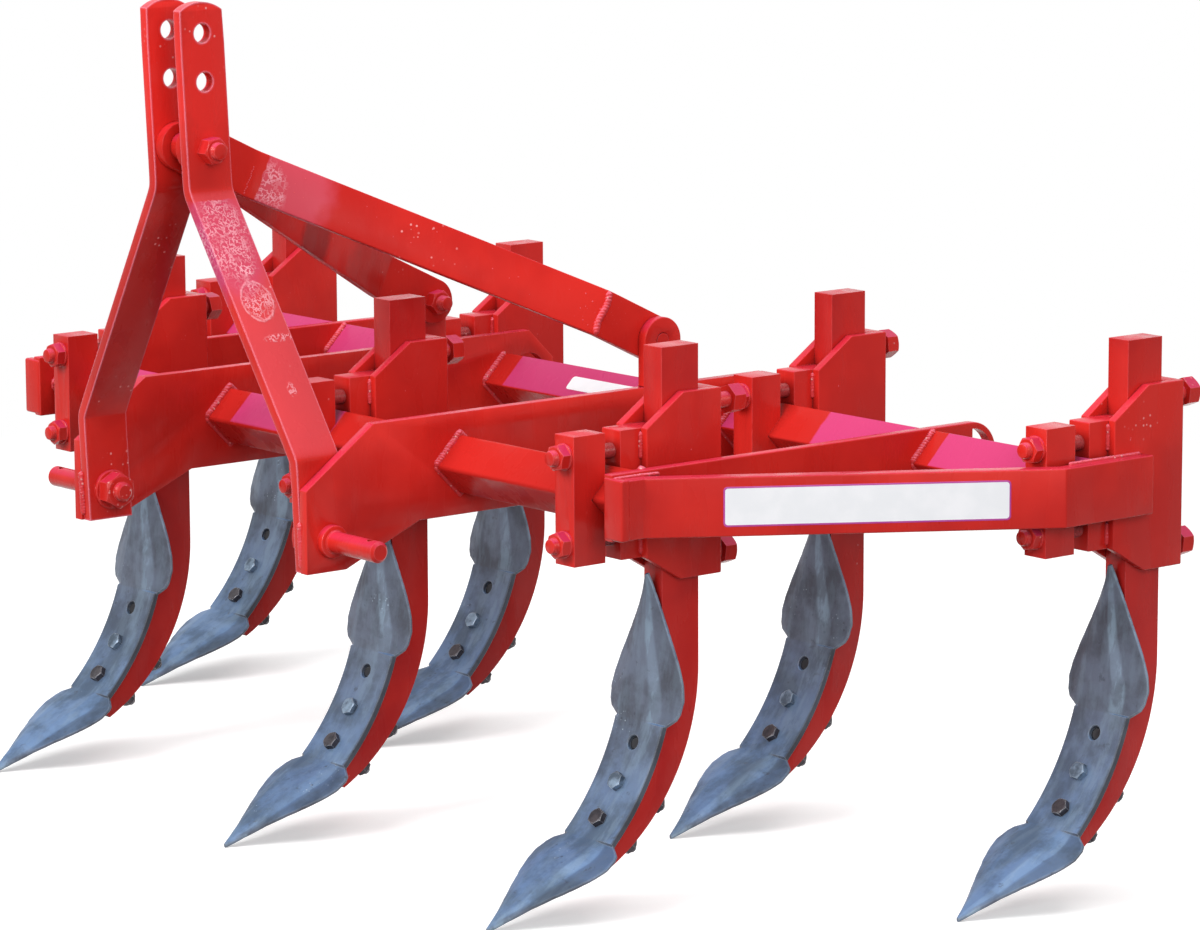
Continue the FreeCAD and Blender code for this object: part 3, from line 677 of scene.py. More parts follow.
# A merged copy of a CAD node with its edges rounded by a live bevel.
def softened(node, width, segments, paint, angle=32.0):
    work = bmesh.new()
    work.from_mesh(nodes[node].data)
    bmesh.ops.remove_doubles(work, verts=work.verts, dist=2e-6)
    bmesh.ops.dissolve_limit(work, angle_limit=math.radians(0.6), verts=work.verts,
                             edges=work.edges)
    mesh = bpy.data.meshes.new(node + "Soft")
    work.to_mesh(mesh)
    work.free()
    mesh.shade_smooth()
    mesh.materials.clear()
    mesh.materials.append(materials[paint])
    piece = linked(node + "Soft", mesh)
    bevel = piece.modifiers.new("edges", "BEVEL")
    bevel.width = width / 1000.0
    bevel.segments = segments
    bevel.limit_method = "ANGLE"
    bevel.angle_limit = math.radians(angle)
    bevel.harden_normals = True
    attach(piece, "root")
    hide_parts(node)


# tubes, plates, shanks and blocks keep their CAD shape, with rounded edges:
# width of the rounding, its segments and the paint
edges = {
    "shank": (2.6, 3, "shank"),
    "clamp_block": (1.6, 3, "clamp"),
    "front_toolbar": (4.0, 4, "tube"),
    "rear_toolbar": (4.0, 4, "tube"),
    "hitch_plate": (1.2, 2, "frame"),
    "side_bar": (1.6, 3, "frame"),
    "brace_lug": (1.3, 2, "frame"),
    "mast_spacer_bush": (1.0, 2, "frame"),
}
for node in sorted(nodes):
    for kind, finish in edges.items():
        if node.startswith(kind):
            softened(node, *finish)
print("frame pieces rounded")

# clamp brackets

bracket = {"core": 14.3, "cheek": 24.3, "high": 65.52, "front": 54.02, "notch": 28.2,
           "outline": ((28.0, -65.52), (28.0, 65.52), (-20.0, 98.0), (-70.0, 98.0), (-70.0, -92.0),
                       (-17.0, -92.0)),
           "spacer": ((-50.0, -92.0), (-50.0, 98.0), (-70.0, 98.0), (-70.0, -92.0))}


# Two cheeks with the bracket's outline; between them the core, its front corner cut square to fit
# the toolbar, and the spacer behind the shank.
def bracketShells(tine, number):
    notch, high, front, half = (bracket[k] for k in ("notch", "high", "front", "core"))
    core = ((0.0, -high), (front, -high), (front, notch - front), (notch, 0.0),
            (front, front - notch), (front, high), (0.0, high))
    cheeks = [prismShell(bracket["outline"], *sorted((side * half, side * bracket["cheek"])))
              for side in (-1.0, 1.0)]
    return cheeks + [prismShell(outline, -half, half, 1.2, 0.3)
                     for outline in (core, bracket["spacer"])]


addOnTines("clamp_bracket_", "Soft", bracketShells, "clamp", 35.0)

# side plates: round behind, cut for both toolbars and for the half-round eye

sidePlate = {"inner": 504.0, "outer": 516.0, "half": 33.62, "front": 108.04,
             "eyeX": rearTubeX - 54.52, "eyeRadius": 27.0,
             # corners of the ground weld at its front end, and how far out it reaches
             "fillCorners": ((98.0, -31.6), (109.3, -31.6), (109.3, 30.2), (98.0, 30.2)),
             "fill": 533.0}


# A bar with a half-round rear end, less the two tubes' squares and a smaller half-round eye.
def sidePlateShells(side):
    angle = np.radians(np.linspace(90.0, 270.0, 25))
    arcs = [[(sidePlate["eyeX"] + radius * math.cos(a), radius * math.sin(a)) for a in angle]
            for radius in (sidePlate["half"], sidePlate["eyeRadius"])]
    half, front = sidePlate["half"], sidePlate["front"]
    low, high = sorted((side * sidePlate["inner"], side * sidePlate["outer"]))
    blank = prismShell([(front, -half), (front, half)] + arcs[0], low, high)
    tube = layout["tubeHalf"]
    outlines = [[(x + tube, 0.0), (x, tube), (x - tube, 0.0), (x, -tube)]
                for x in (layout["tubeX"], rearTubeX)] + [arcs[1]]
    rods = [ringShell(np.array([[(x, y, z) for x, z in outline] for y in (low - 2.0, high + 2.0)]))
            for outline in outlines]
    return bored(blank, rods)


for name, side in sides:
    # weld ground flush over the joined ends of plate and side bar
    reach = sorted((side * (sidePlate["inner"] + 0.6), side * sidePlate["fill"]))
    end = prismShell(sidePlate["fillCorners"], *reach, 2.4, 2.4)
    shells = [sidePlateShells(side), end]
    addPiece("side_plate_" + name, shells, "frame", "Soft", 35.0)
print("clamp brackets and side plates made")

# shovels

shovel = {
    "arcRadius": 270.0, "boltAngle": 31.4, "half": 221.0, "thick": 8.0, "gap": 0.2,
    "holeRadius": 7.5, "pitch": 44.0,
    # share of the half length, half width; on the left side and then on the right one the
    # panel's reach, width of the slope beside it and its drop; drop out to the edge, edge
    # thickness, and how far the panel stands off the tine's curve on the lower and upper half
    "stations": ((0.0, 37.2, 34.0, 3.0, 0.3, 36.4, 0.6, 0.1, 0.5, 6.6, 0.0, 0.0),
                 (0.27, 37.2, 34.0, 3.0, 0.3, 36.4, 0.6, 0.1, 0.5, 6.6, 0.0, 0.0),
                 (0.303, 37.4, 12.0, 20.0, 0.3, 35.0, 2.0, 0.4, 0.7, 6.4, 0.2, 0.2),
                 (0.309, 38.2, 11.0, 15.0, 2.4, 31.0, 2.4, 1.6, 3.5, 5.0, 0.3, 0.3),
                 (0.345, 50.0, 11.0, 15.0, 3.4, 31.0, 8.0, 1.4, 5.0, 4.6, 2.4, 1.8),
                 (0.375, 54.0, 10.5, 14.5, 4.2, 29.0, 9.0, 1.8, 6.6, 4.0, 4.8, 3.0),
                 (0.44, 56.5, 9.0, 13.5, 4.6, 26.5, 9.0, 2.0, 8.4, 3.8, 9.0, 4.6),
                 (0.51, 53.1, 4.0, 12.0, 4.6, 24.0, 9.0, 2.0, 8.8, 3.6, 11.8, 5.2),
                 (0.6, 44.6, 0.8, 10.0, 4.2, 19.5, 8.0, 1.9, 8.2, 3.5, 13.4, 5.0),
                 (0.7, 33.3, -2.0, 8.5, 3.6, 14.5, 7.0, 1.7, 7.0, 3.4, 13.2, 3.8),
                 (0.8, 22.0, -1.0, 6.6, 2.8, 9.5, 5.0, 1.4, 5.6, 3.4, 10.6, 1.0),
                 (0.91, 10.2, -0.8, 4.0, 1.8, 4.2, 2.6, 0.9, 4.0, 3.2, 4.4, -3.2),
                 (1.0, 1.7, 0.5, 0.5, 0.3, 0.6, 0.5, 0.2, 1.5, 3.0, -3.0, -8.0)),
}
shovel["face"] = shovel["arcRadius"] - shovel["thick"] - shovel["gap"]
# height of the curve's centre, so that the blade's lower point touches the ground
lowTurn = math.radians(shovel["boltAngle"]) + shovel["half"] / shovel["arcRadius"]
shovel["arcCentre"] = (shovel["arcRadius"] - 1.0) * math.sin(lowTurn) - layout["tubeRise"]


# Point on the tine's curve: along is arc length below the upper bolt, radius from the centre.
def arcPoint(along, radius, across):
    turn = math.radians(shovel["boltAngle"]) + np.asarray(along) / shovel["arcRadius"]
    parts = np.broadcast_arrays(shovel["arcRadius"] - radius * np.cos(turn), across,
                                shovel["arcCentre"] - radius * np.sin(turn))
    return np.stack(parts, -1)


# Direction out of the tine's face at that point.
def arcWay(along):
    turn = math.radians(shovel["boltAngle"]) + along / shovel["arcRadius"]
    return np.array([math.cos(turn), 0.0, math.sin(turn)])


# Sizes at each run along the blade. The left side of the panel reaches out by 1.1 of its lift.
def bladeSizes(run):
    table = np.array(shovel["stations"])
    share = np.abs(run) / shovel["half"]
    half, *flanks, back, edge, low, high = (np.interp(share, table[:, 0], table[:, k])
                                            for k in range(1, 12))
    lift = np.where(run > 0.0, low, high)
    flanks[0] = np.maximum(flanks[0] + 1.1 * lift, 0.7)
    return half, flanks, back, edge, lift


# One side of each ring round the blade, from the middle outwards: reach, front and rear radius.
# The face is flat over the panel, falls by drop over the slope beside it and by the rest out to
# the edge; slow waves of a few tenths of a millimetre stand for forging marks.
def bladeFlank(runs, flat, wall, drop, half, back, edge, lift):
    share = np.abs(runs) / shovel["half"]
    foot = flat + wall
    inner = np.array([0.0, 0.25, 0.5, 0.75, 0.93])
    outer = np.array([0.1, 0.3, 0.52, 0.72, 0.87, 0.96])
    reach = np.concatenate([flat * inner, flat + wall * np.array([0.02, 0.12, 0.5, 0.88, 1.0]),
                            foot + (half - foot) * outer, half], 1)
    beside = np.clip((reach - flat) / wall, 0.0, 1.0)
    rest = np.clip((reach - foot) / np.maximum(half - foot, 0.01), 0.0, 1.0)
    lip = np.minimum(1.0, edge / 4.0) * np.interp(half - reach, [0.0, 0.25, 0.7, 1.6],
                                                  [1.0, 0.45, 0.12, 0.0])
    front = shovel["face"] - lift + drop * beside + (back - drop) * rest + lip
    front = front + 0.2 * np.sin(reach * 0.21 + 2.0 * np.sin(runs * 0.031)) \
        * np.sin(runs * 0.083 + 0.7) * np.clip(share * 3.0 - 0.8, 0.0, 1.0)
    rear = shovel["face"] - lift + shovel["thick"] \
        - (shovel["thick"] - back - edge) * np.clip(share - 0.6, 0.0, None) / 0.4
    outside = np.clip(reach / half * 1.6 - 0.6, 0.0, 1.0)
    rear = rear + (shovel["face"] - lift + back + edge - rear) * outside - lip
    return reach, front, np.maximum(rear, front + 0.6)


# Rings round the blade, one each step along the curve.
def shovelShell():
    runs = np.concatenate([np.linspace(0.0, 62.0, 16)[:-1], np.linspace(62.0, 92.0, 37)[:-1],
                           np.linspace(92.0, shovel["half"], 54)])
    runs = np.concatenate([-runs[:0:-1], runs])[:, None]
    share = np.abs(runs) / shovel["half"]
    half, flanks, back, edge, lift = bladeSizes(runs)
    waves = np.sin(runs * 0.9) * np.sin(runs * 0.23 + 1.0)
    half = half - np.interp(share, [0.33, 0.4, 0.9, 0.97], [0.0, 1.0, 1.0, 0.0]) \
        * (0.25 + 0.45 * waves ** 2 * (np.sin(runs * 0.061) > 0.1))
    left, leftFront, leftRear = bladeFlank(runs, *flanks[:3], half, back, edge, lift)
    right, rightFront, rightRear = bladeFlank(runs, *flanks[3:], half, back, edge, lift)
    across = np.concatenate([-right[:, :0:-1], left, left[:, ::-1], -right[:, 1:]], 1)
    radius = np.concatenate([rightFront[:, :0:-1], leftFront, leftRear[:, ::-1],
                             rightRear[:, 1:]], 1)
    return ringShell(arcPoint(runs, radius, across))


# each drill starts 20 behind the tine's face and widens by 0.8 where it comes out
drill = [(depth, shovel["holeRadius"] + wider)
         for depth, wider in ((0.0, 0.0), (27.4, 0.0), (29.2, 1.8), (40.0, 1.8))]
drills = [turned(arcPoint(along, shovel["arcRadius"] + 20.0, 0.0), arcWay(along), drill)
          for along in (-shovel["pitch"], 0.0, shovel["pitch"])]
blade = bored(shovelShell(), drills)


# Where the blade is painted brighter (above zero) or darker (below): a painted highlight over the
# slope on its left side, faintly on the other one, and over the left half of the waist, brighter
# along the rim and towards the tip; painted shade on the left wing outside the slope and on the
# waist's left edge.
def wearSheenAndShadeShare(points):
    dx, dz = points[:, 0] - shovel["arcRadius"], points[:, 2] - shovel["arcCentre"]
    run = (np.arctan2(-dz, -dx) - math.radians(shovel["boltAngle"])) * shovel["arcRadius"]
    share = np.abs(run) / shovel["half"]
    half, flanks = bladeSizes(run)[:2]
    onLeft = points[:, 1] > 0.0
    flat, wall = np.where(onLeft, flanks[0], flanks[3]), np.where(onLeft, flanks[1], flanks[4])
    reach = np.abs(points[:, 1])
    blade = np.clip((share - 0.3) / 0.02, 0.0, 1.0)
    crease = np.clip(1.5 - np.abs(reach - flat - 0.5 * wall) / (0.5 * wall + 0.3), 0.0, 1.0)
    crease *= np.where(onLeft, np.where(run > 0.0, 0.14, 0.36), 0.08) * blade
    waist = 0.16 * np.clip(1.4 - np.abs(points[:, 1] - 17.0) / 15.0, 0.0, 1.0) * (1.0 - blade)
    rim = 0.5 * np.exp(-((half - reach) / 0.9) ** 2) * blade
    tip = 0.22 * np.clip((share - 0.84) / 0.16, 0.0, 1.0)
    # painted shade on the left wing outside the slope and on the waist's left edge
    dull = np.where(run > 0.0, 0.42, 0.16) * blade * (share < 0.9)
    dull *= np.clip((reach - flat - wall) / 3.0, 0.0, 1.0)
    dull += 0.6 * (1.0 - blade) * np.clip((reach - half + 2.4) / 1.4, 0.0, 1.0)
    return np.max([crease, waist, rim, tip], 0) - np.where(onLeft, dull, 0.0)


# a dark plug in the spare hole, 3 below the blade's face: painted shade of the hole
holeShadePlug = turned(arcPoint(-shovel["pitch"], shovel["arcRadius"] - 0.6, 0.0), arcWay(-shovel["pitch"]),
              [(0.0, 7.2), (3.4, 7.3), (4.2, 5.0), (3.9, 2.0)], 24)
shares = np.concatenate([wearSheenAndShadeShare(blade[0]), -np.ones(len(holeShadePlug[0]))]).astype(np.float32)
for piece in addOnTines("shovel_", "Forged", lambda tine, number: [blade, holeShadePlug], "shovel",
                        24.0):
    wearSheenAndShade = piece.data.attributes.new("wearSheenAndShade", "FLOAT", "POINT")
    wearSheenAndShade.data.foreach_set("value", shares)
print("shovels made, points each:", len(blade[0]))

# shovel bolts

shovelBolt = {"radius": 5.0, "across": 17.0, "head": 7.0, "nut": 9.0, "tail": 5.0,
              "rearRadius": 220.0, "rearCentre": (172.0, shovel["arcCentre"] - 25.0), "nutGap": 0.5}


# Depth of the shank along a line through the curve's centre, from where it meets the rear arc.
def shankDepth(along):
    point, way = arcPoint(along, shovel["arcRadius"], 0.0), arcWay(along)
    dx, dz = point[0] - shovelBolt["rearCentre"][0], point[2] - shovelBolt["rearCentre"][1]
    b = dx * way[0] + dz * way[2]
    return b + math.sqrt(b * b - (dx * dx + dz * dz - shovelBolt["rearRadius"] ** 2))


# Head on the blade's face, shaft through the tine, nut on its rear with a threaded end past it.
def shovelBoltShells(tine, number):
    shells, turn = [], 0.35 * number
    radius, low, across = shovelBolt["radius"], shovelBolt["nut"], shovelBolt["across"]
    end = low + shovelBolt["tail"]
    for along in (0.0, shovel["pitch"]):
        way = arcWay(along)
        front = arcPoint(along, shovel["face"], 0.0)
        length = shovel["arcRadius"] - shovel["face"] + shankDepth(along) + shovelBolt["nutGap"]
        back = front - way * length
        rows = [(1.0 - length, radius * 0.5), (1.0 - length, radius), (low + 0.2, radius)]
        rows += threadRows(low + 0.4, end - 0.6, radius, 1.5, 0.45) + [(end, radius - 1.0)]
        shells += [hexSolid(front, way, across, shovelBolt["head"], False, True, turn + along),
                   turned(back, -way, rows, 32),
                   hexSolid(back, -way, across, low, True, True, 0.7 - turn + along)]
    return shells


addOnTines("shovel_bolts_", "Turned", shovelBoltShells, "shovelBolt", 28.0)

# clamp studs, nuts and set screws

clampBolt = {"rise": 44.02, "radius": 8.0, "start": 8.0, "blockFront": 114.02, "end": 134.02,
             "across": 24.0, "nut": 13.0, "washer": 2.4, "washerRadius": 13.6,
             "bare": (53.0, 76.0),    # the thread that shows between bracket and block
             "screws": (80.0, -74.0), "shankRear": -48.0, "neck": 35.0, "head": 16.0,
             "screwAcross": 27.0, "extra": {"f2": (3.0, 3.0), "f3": (14.0, 2.0), "r4": (7.0, 1.0)}}


# Two studs with washer and nut in front of the block, and two set screws behind the shank.
def clampBoltShells(tine, number):
    size, shells = clampBolt, []
    radius, washer, end = size["radius"], size["washer"], size["end"]
    low, high = size["bare"]
    seat = size["blockFront"]
    for side, rise in enumerate((-size["rise"], size["rise"])):
        rows = [(size["start"], 2.0), (size["start"], radius), (low - 1.0, radius)]
        rows += threadRows(low, high, radius)
        rows += [(high + 1.0, radius), (seat + size["nut"], radius - 0.1)]
        rows += threadRows(seat + size["nut"] + 0.4, end - 1.6, radius)
        rows += [(end - 0.7, radius - 0.9), (end, radius - 2.6)]
        disc = [(0.0, size["washerRadius"]), (washer - 0.5, size["washerRadius"]),
                (washer, size["washerRadius"] - 0.6)]
        shells += [turned((0.0, 0.0, rise), (1, 0, 0), rows),
                   turned((seat, 0.0, rise), (1, 0, 0), disc, 48),
                   hexSolid((seat + washer, 0.0, rise), (1, 0, 0), size["across"],
                            size["nut"] - washer, False, True, 0.5 + number + side * 0.9)]
    for side, rise in enumerate(size["screws"]):
        reach = size["neck"] + size["extra"].get(tine, (0.0, 0.0))[side]
        rows = [(0.0, radius - 2.0), (1.5, radius), (20.0, radius)]
        rows += threadRows(21.0, reach - 1.0, radius) + [(reach, radius)]
        shells += [turned((size["shankRear"], 0.0, rise), (-1, 0, 0), rows),
                   hexSolid((size["shankRear"] - reach, 0.0, rise), (-1, 0, 0), size["screwAcross"],
                            size["head"], False, True, 0.2 + number * 1.3 + side)]
    return shells


addOnTines("clamp_bolts_", "Turned", clampBoltShells, "fastener", 28.0)
print("clamp and shovel fasteners made")

# bolts of the mast and braces

mast = {"foot": 226.0, "bottom": -93.0, "lean": 0.047, "half": 27.0, "top": 476.0, "thick": 12.0,
        "endRadius": 44.0, "bends": (23.0, 283.0), "outer": (199.0, 36.0),
        "holes": (444.0, 394.0), "holeRadius": 10.0, "crossRise": 324.0, "earOut": 36.0,
        "crossRadius": 9.0, "crossAcross": 25.0, "crossHead": 12.0, "crossNut": 15.0,
        "crossTail": 7.0,
        "lugX": rearTubeX + 109.0, "lugRise": 101.5, "lugIn": 187.0, "lugOut": 211.0,
        "lugRadius": 8.0, "lugAcross": 24.0, "lugNut": 13.0, "lugTail": 11.0}


# Middle of a strap at a height: it leans by a constant share of the rise.
def mastX(rise):
    return mast["foot"] + (rise - mast["bottom"]) * mast["lean"]


# Rows of a thread past a nut and its rounded tip.
def screwEnd(low, high, radius):
    tip = [(high - 0.6, radius - 0.9), (high, radius - 2.4)]
    return threadRows(low + 0.4, high - 1.4, radius) + tip


# The cross bolt through both straps, with its head on the right, and a bolt through each lug.
def mastBoltShells():
    seat = np.array([mastX(mast["crossRise"]), -mast["earOut"], mast["crossRise"]])
    way, grip, radius = np.array([0.0, 1.0, 0.0]), 2.0 * mast["earOut"], mast["crossRadius"]
    across, nut = mast["crossAcross"], mast["crossNut"]
    nutTop = grip + nut
    rows = [(0.0, 1.0), (0.0, radius), (nutTop, radius - 0.1)]
    rows += screwEnd(nutTop, nutTop + mast["crossTail"], radius)
    shells = [turned(seat, way, rows),
              hexSolid(seat, -way, across, mast["crossHead"], False, True, 0.4),
              hexSolid(seat + way * grip, way, across, nut, False, True, 1.2)]
    grip, nut, radius = mast["lugIn"] - mast["lugOut"] + 0.3, mast["lugNut"], mast["lugRadius"]
    rows = [(grip, 2.0), (grip, radius), (0.0, radius)]
    rows += screwEnd(nut, nut + mast["lugTail"], radius)
    for side in (-1.0, 1.0):
        seat, way = (mast["lugX"], side * mast["lugIn"], mast["lugRise"]), (0.0, -side, 0.0)
        shells += [turned(seat, way, rows),
                   hexSolid(seat, way, mast["lugAcross"], nut, False, True, 0.2)]
    return shells


addPiece("brace_bolts", mastBoltShells(), "fastener", "Turned", 28.0)

# mast straps, bent twice, and the braces from them to the lugs


# Outer face and normal of a strap: slope falls from 0 to its full value between the two bends.
# Its upper end is an arc of endRadius between two corners.
def mastShell(side):
    low, high = mast["bends"]
    middle = mast["top"] - mast["endRadius"]
    corner = math.acos(mast["half"] / mast["endRadius"])
    crown = middle + mast["endRadius"] * math.sin(corner)
    cap = middle + mast["endRadius"] * np.sin(np.linspace(corner, math.pi / 2.0 - 0.015, 22)[1:])
    rise = np.concatenate([np.linspace(mast["bottom"], low - 14.0, 8),
                           np.linspace(low - 10.0, low + 10.0, 15),
                           np.linspace(low + 20.0, high - 20.0, 12),
                           np.linspace(high - 10.0, high + 10.0, 15),
                           np.linspace(high + 20.0, crown, 6), cap])
    slope = (mast["outer"][1] - mast["outer"][0]) / (high - low)
    out = mast["outer"][0] + slope * (ramp(rise - low) - ramp(rise - high))
    tilt = np.gradient(out, rise)
    halves = np.sqrt(mast["endRadius"] ** 2 - np.clip(rise - middle, 0.0, None) ** 2)
    # the leaning strap's end narrows by its lean, so its front corner keeps inside the frame's box
    end = np.clip(rise - mast["top"] + mast["half"], 0.0, None)
    halves = np.minimum(halves, mast["half"] - mast["lean"] * end)
    faces = np.stack([mastX(rise), side * out, rise], 1)
    normals = np.stack([0.0 * tilt, side * np.ones_like(tilt), -tilt], 1)
    normals /= np.linalg.norm(normals, axis=1)[:, None]
    return strapShell(faces, normals, (1.0, 0.0, 0.0), halves, mast["thick"], 0.7)


for name, side in sides:
    face, radius = mast["outer"][1], mast["holeRadius"]
    rows = [(0.0, radius), (face - 0.6, radius), (face + 0.6, radius + 1.2), (60.0, radius + 1.2)]
    holes = [turned((mastX(z), 0.0, z), (0.0, side, 0.0), rows) for z in mast["holes"]]
    shells = [bored(mastShell(side), holes)]
    addPiece("mast_strap_" + name, shells, "strap", "Soft", 35.0)

brace = {"half": 25.0, "thick": 12.0, "inner": 24.0, "outer": 199.0, "bendHigh": 68.0,
         "bendLow": 80.0, "from": np.array([mastX(mast["crossRise"]), mast["crossRise"]]),
         "to": np.array([mast["lugX"], mast["lugRise"]])}
brace["length"] = np.linalg.norm(brace["to"] - brace["from"])


# Point on the brace's outer face: run along it, offset across it, lift off the face.
def bracePoint(run, offset, lift, side=1.0):
    run = np.asarray(run, float)
    way = (brace["to"] - brace["from"]) / brace["length"]
    up = np.array([-way[1], way[0]]) * (1.0 if way[0] > 0 else -1.0)
    low = brace["length"] - brace["bendLow"]
    slope = (brace["outer"] - brace["inner"]) / (low - brace["bendHigh"])
    y = brace["inner"] + slope * (ramp(run - brace["bendHigh"]) - ramp(run - low)) + lift
    x = brace["from"][0] + way[0] * run + up[0] * offset
    z = brace["from"][1] + way[1] * run + up[1] * offset
    return np.stack(np.broadcast_arrays(x, side * y, z), -1)


# The brace's outer face from end to end; beyond the end bolts its half width follows a circle.
def braceShell(side):
    half, length = brace["half"], brace["length"]
    cap = half * np.sin(np.linspace(0.0, math.pi / 2.0, 18)[1:] * 0.985)
    high, low = brace["bendHigh"], length - brace["bendLow"]
    run = np.concatenate([-cap[::-1], np.linspace(0.0, high - 16.0, 5),
                          np.linspace(high - 12.0, high + 12.0, 13),
                          np.linspace(high + 20.0, low - 20.0, 14),
                          np.linspace(low - 12.0, low + 12.0, 13),
                          np.linspace(low + 16.0, length, 5), length + cap])
    faces = bracePoint(run, 0.0, 0.0, side)
    beyond = np.maximum(np.clip(-run, 0.0, None), np.clip(run - length, 0.0, None))
    halves = np.sqrt(np.maximum(half ** 2 - beyond ** 2, 0.04))
    up = bracePoint(0.0, 1.0, 0.0, side) - bracePoint(0.0, 0.0, 0.0, side)
    normals = np.cross(np.gradient(faces, axis=0), up)
    normals *= np.sign(normals[:, 1] * side)[:, None] / np.linalg.norm(normals, axis=1)[:, None]
    return strapShell(faces, normals, up, halves, brace["thick"])


for name, side in sides:
    addPiece("brace_" + name, [braceShell(side)], "brace", "Soft", 35.0)
print("mast straps and braces made")

# lower hitch pins

pin = {"rise": -61.0, "inner": 187.0, "outer": 211.0, "radius": 11.0, "length": 84.0,
       "chamfer": 3.0, "collarRadius": 17.0, "collar": 8.0, "studRadius": 10.0, "washer": 4.0,
       "washerRadius": 21.0, "nutAcross": 34.0, "nut": 16.0, "tail": 8.0, "cotterRadius": 4.5,
       "cotterBack": 15.0}


# Pin profile: stud through strap and plate, collar with a rounded rim, shaft, chamfered end.
def pinShells(side):
    start, inner = (np.array([mast["foot"], side * pin[face], pin["rise"]])
                    for face in ("outer", "inner"))
    way = np.array([0.0, side, 0.0])
    stud, shaft, wide, collar = (pin[k] for k in ("studRadius", "radius", "collarRadius", "collar"))
    washer, flange, length = pin["washer"], pin["washerRadius"], pin["length"]
    depth = pin["outer"] - pin["inner"] + washer + pin["nut"]
    end = -depth - pin["tail"]
    rows = [(end, stud - 2.4), (end + 1.4, stud - 0.9)]
    rows += threadRows(end + 2.0, -depth - 0.4, stud, 2.5)
    rows += [(-depth, stud), (0.0, stud), (0.0, wide), (collar - 1.6, wide),
             (collar - 0.5, wide - 0.5), (collar, wide - 1.7), (collar, shaft + 1.2),
             (collar + 1.2, shaft), (20.0, shaft), (40.0, shaft), (60.0, shaft),
             (length - pin["chamfer"], shaft), (length, shaft - pin["chamfer"])]
    hole = turned(start + way * (length - pin["cotterBack"]) - [0, 0, 20.0], (0, 0, 1),
                  [(0.0, pin["cotterRadius"]), (40.0, pin["cotterRadius"])], 28)
    disc = [(0.0, flange), (washer - 0.7, flange), (washer, flange - 0.9)]
    return [bored(turned(start, way, rows, 56), [hole]), turned(inner, -way, disc, 56),
            hexSolid(inner - way * washer, -way, pin["nutAcross"], pin["nut"], False, True, 0.5)]


for name, side in sides:
    addPiece("lower_pin_" + name, pinShells(side), "pin", "Turned", 28.0)
print("mast bolts and hitch pins made")

# welds

# bead sizes, then where they run
weld = {"tubeBead": 3.6, "underBead": 2.2, "barBead": 2.0, "plateBead": 3.0, "stitch": 2.4,
        "hitchIn": 199.0, "hitchOut": 211.0, "sideIn": 504.0, "sideOut": 516.0, "lugHalf": 24.0,
        "lugFoot": 53.92, "strapHalf": 27.0, "strapRises": (-88.0, -40.0, 18.0),
        "barRises": (29.0, -31.0), "barFront": 106.04, "barBend": 78.04, "barEnd": 49.04,
        "tailFront": -291.98, "tailRear": -391.98, "tailOut": 745.3, "cheekOut": 14.5,
        "cheekFront": 28.0, "stitches": ((34.0, 62.0), (-62.0, -38.0))}


# Corners of a square tube standing on its corner, front one first, with a share of the sides.
def diamondPath(x, y, corners):
    half = layout["tubeHalf"] + 0.4
    spots = {"front": (half, 0.0), "top": (0.0, half), "rear": (-half, 0.0), "low": (0.0, -half)}
    return [(x + spots[c][0], y, spots[c][1]) for c in corners]


beads = {"toolbarWelds": [], "plateWelds": [], "clampWelds": []}
for side in (-1.0, 1.0):
    # the front tube is welded right round, the rear one only at its front sides
    for x, faces, over, under in (
            (layout["tubeX"], ("hitchIn", "hitchOut", "sideIn"), ("front", "top", "rear"),
             ("rear", "low", "front")),
            (rearTubeX, ("hitchIn", "hitchOut", "sideIn", "sideOut"), ("front", "top"),
             ("low", "front"))):
        for face in faces:
            beads["toolbarWelds"] += [(diamondPath(x, side * weld[face], over), weld["tubeBead"]),
                                      (diamondPath(x, side * weld[face], under), weld["underBead"])]
    lugs = [[(mast["lugX"] + x, side * weld[face] - 0.02 * x, weld["lugFoot"])
             for x in (-weld["lugHalf"], 0.0, weld["lugHalf"])] for face in ("hitchIn", "hitchOut")]
    straps = [[(mastX(z) + edge, side * weld["hitchIn"], z) for z in weld["strapRises"]
               if edge < 0 or z < 0] for edge in (-weld["strapHalf"], weld["strapHalf"])]
    beads["plateWelds"] += [(path, weld["plateBead"]) for path in lugs + straps]
    for z in weld["barRises"]:
        bar = [(weld[end], side * (weld["sideOut"] + out), z)
               for end, out in (("barFront", 0.0), ("barBend", 0.0), ("barEnd", 3.0))]
        tail = [(weld[end], side * weld["tailOut"], z) for end in ("tailFront", "tailRear")]
        beads["plateWelds"] += [(bar, weld["barBead"]), (tail, weld["barBead"])]
for tine, across in layout["tines"].items():
    for side in (-1.0, 1.0):
        x, y = rowX(tine) + weld["cheekFront"], across + side * weld["cheekOut"]
        beads["clampWelds"] += [([(x, y, z) for z in stitch], weld["stitch"])
                                for stitch in weld["stitches"]]
for name, runs in beads.items():
    shells = [beadShell(path, radius) for path, radius in runs]
    addPiece(name, shells, "weld", "", 50.0)
print("weld beads:", sum(len(runs) for runs in beads.values()))

# the weld run across the left brace, and spatter beside the welds

mend = {"radius": 3.4, "pitch": 3.6, "sway": 1.5, "reach": 24.42, "sink": 0.6}
path = [bracePoint(brace["length"] - brace["bendLow"] + mend["sway"] * math.sin(turn),
                   turn * mend["reach"] / 3.7, -mend["sink"]) for turn in np.linspace(-3.7, 3.7, 9)]
shells = [beadShell(path, mend["radius"], mend["pitch"])]
addPiece("braceMendWeld", shells, "weld", "", 50.0)

spatter = {"count": 150, "small": 0.4, "large": 0.95, "seed": 11}


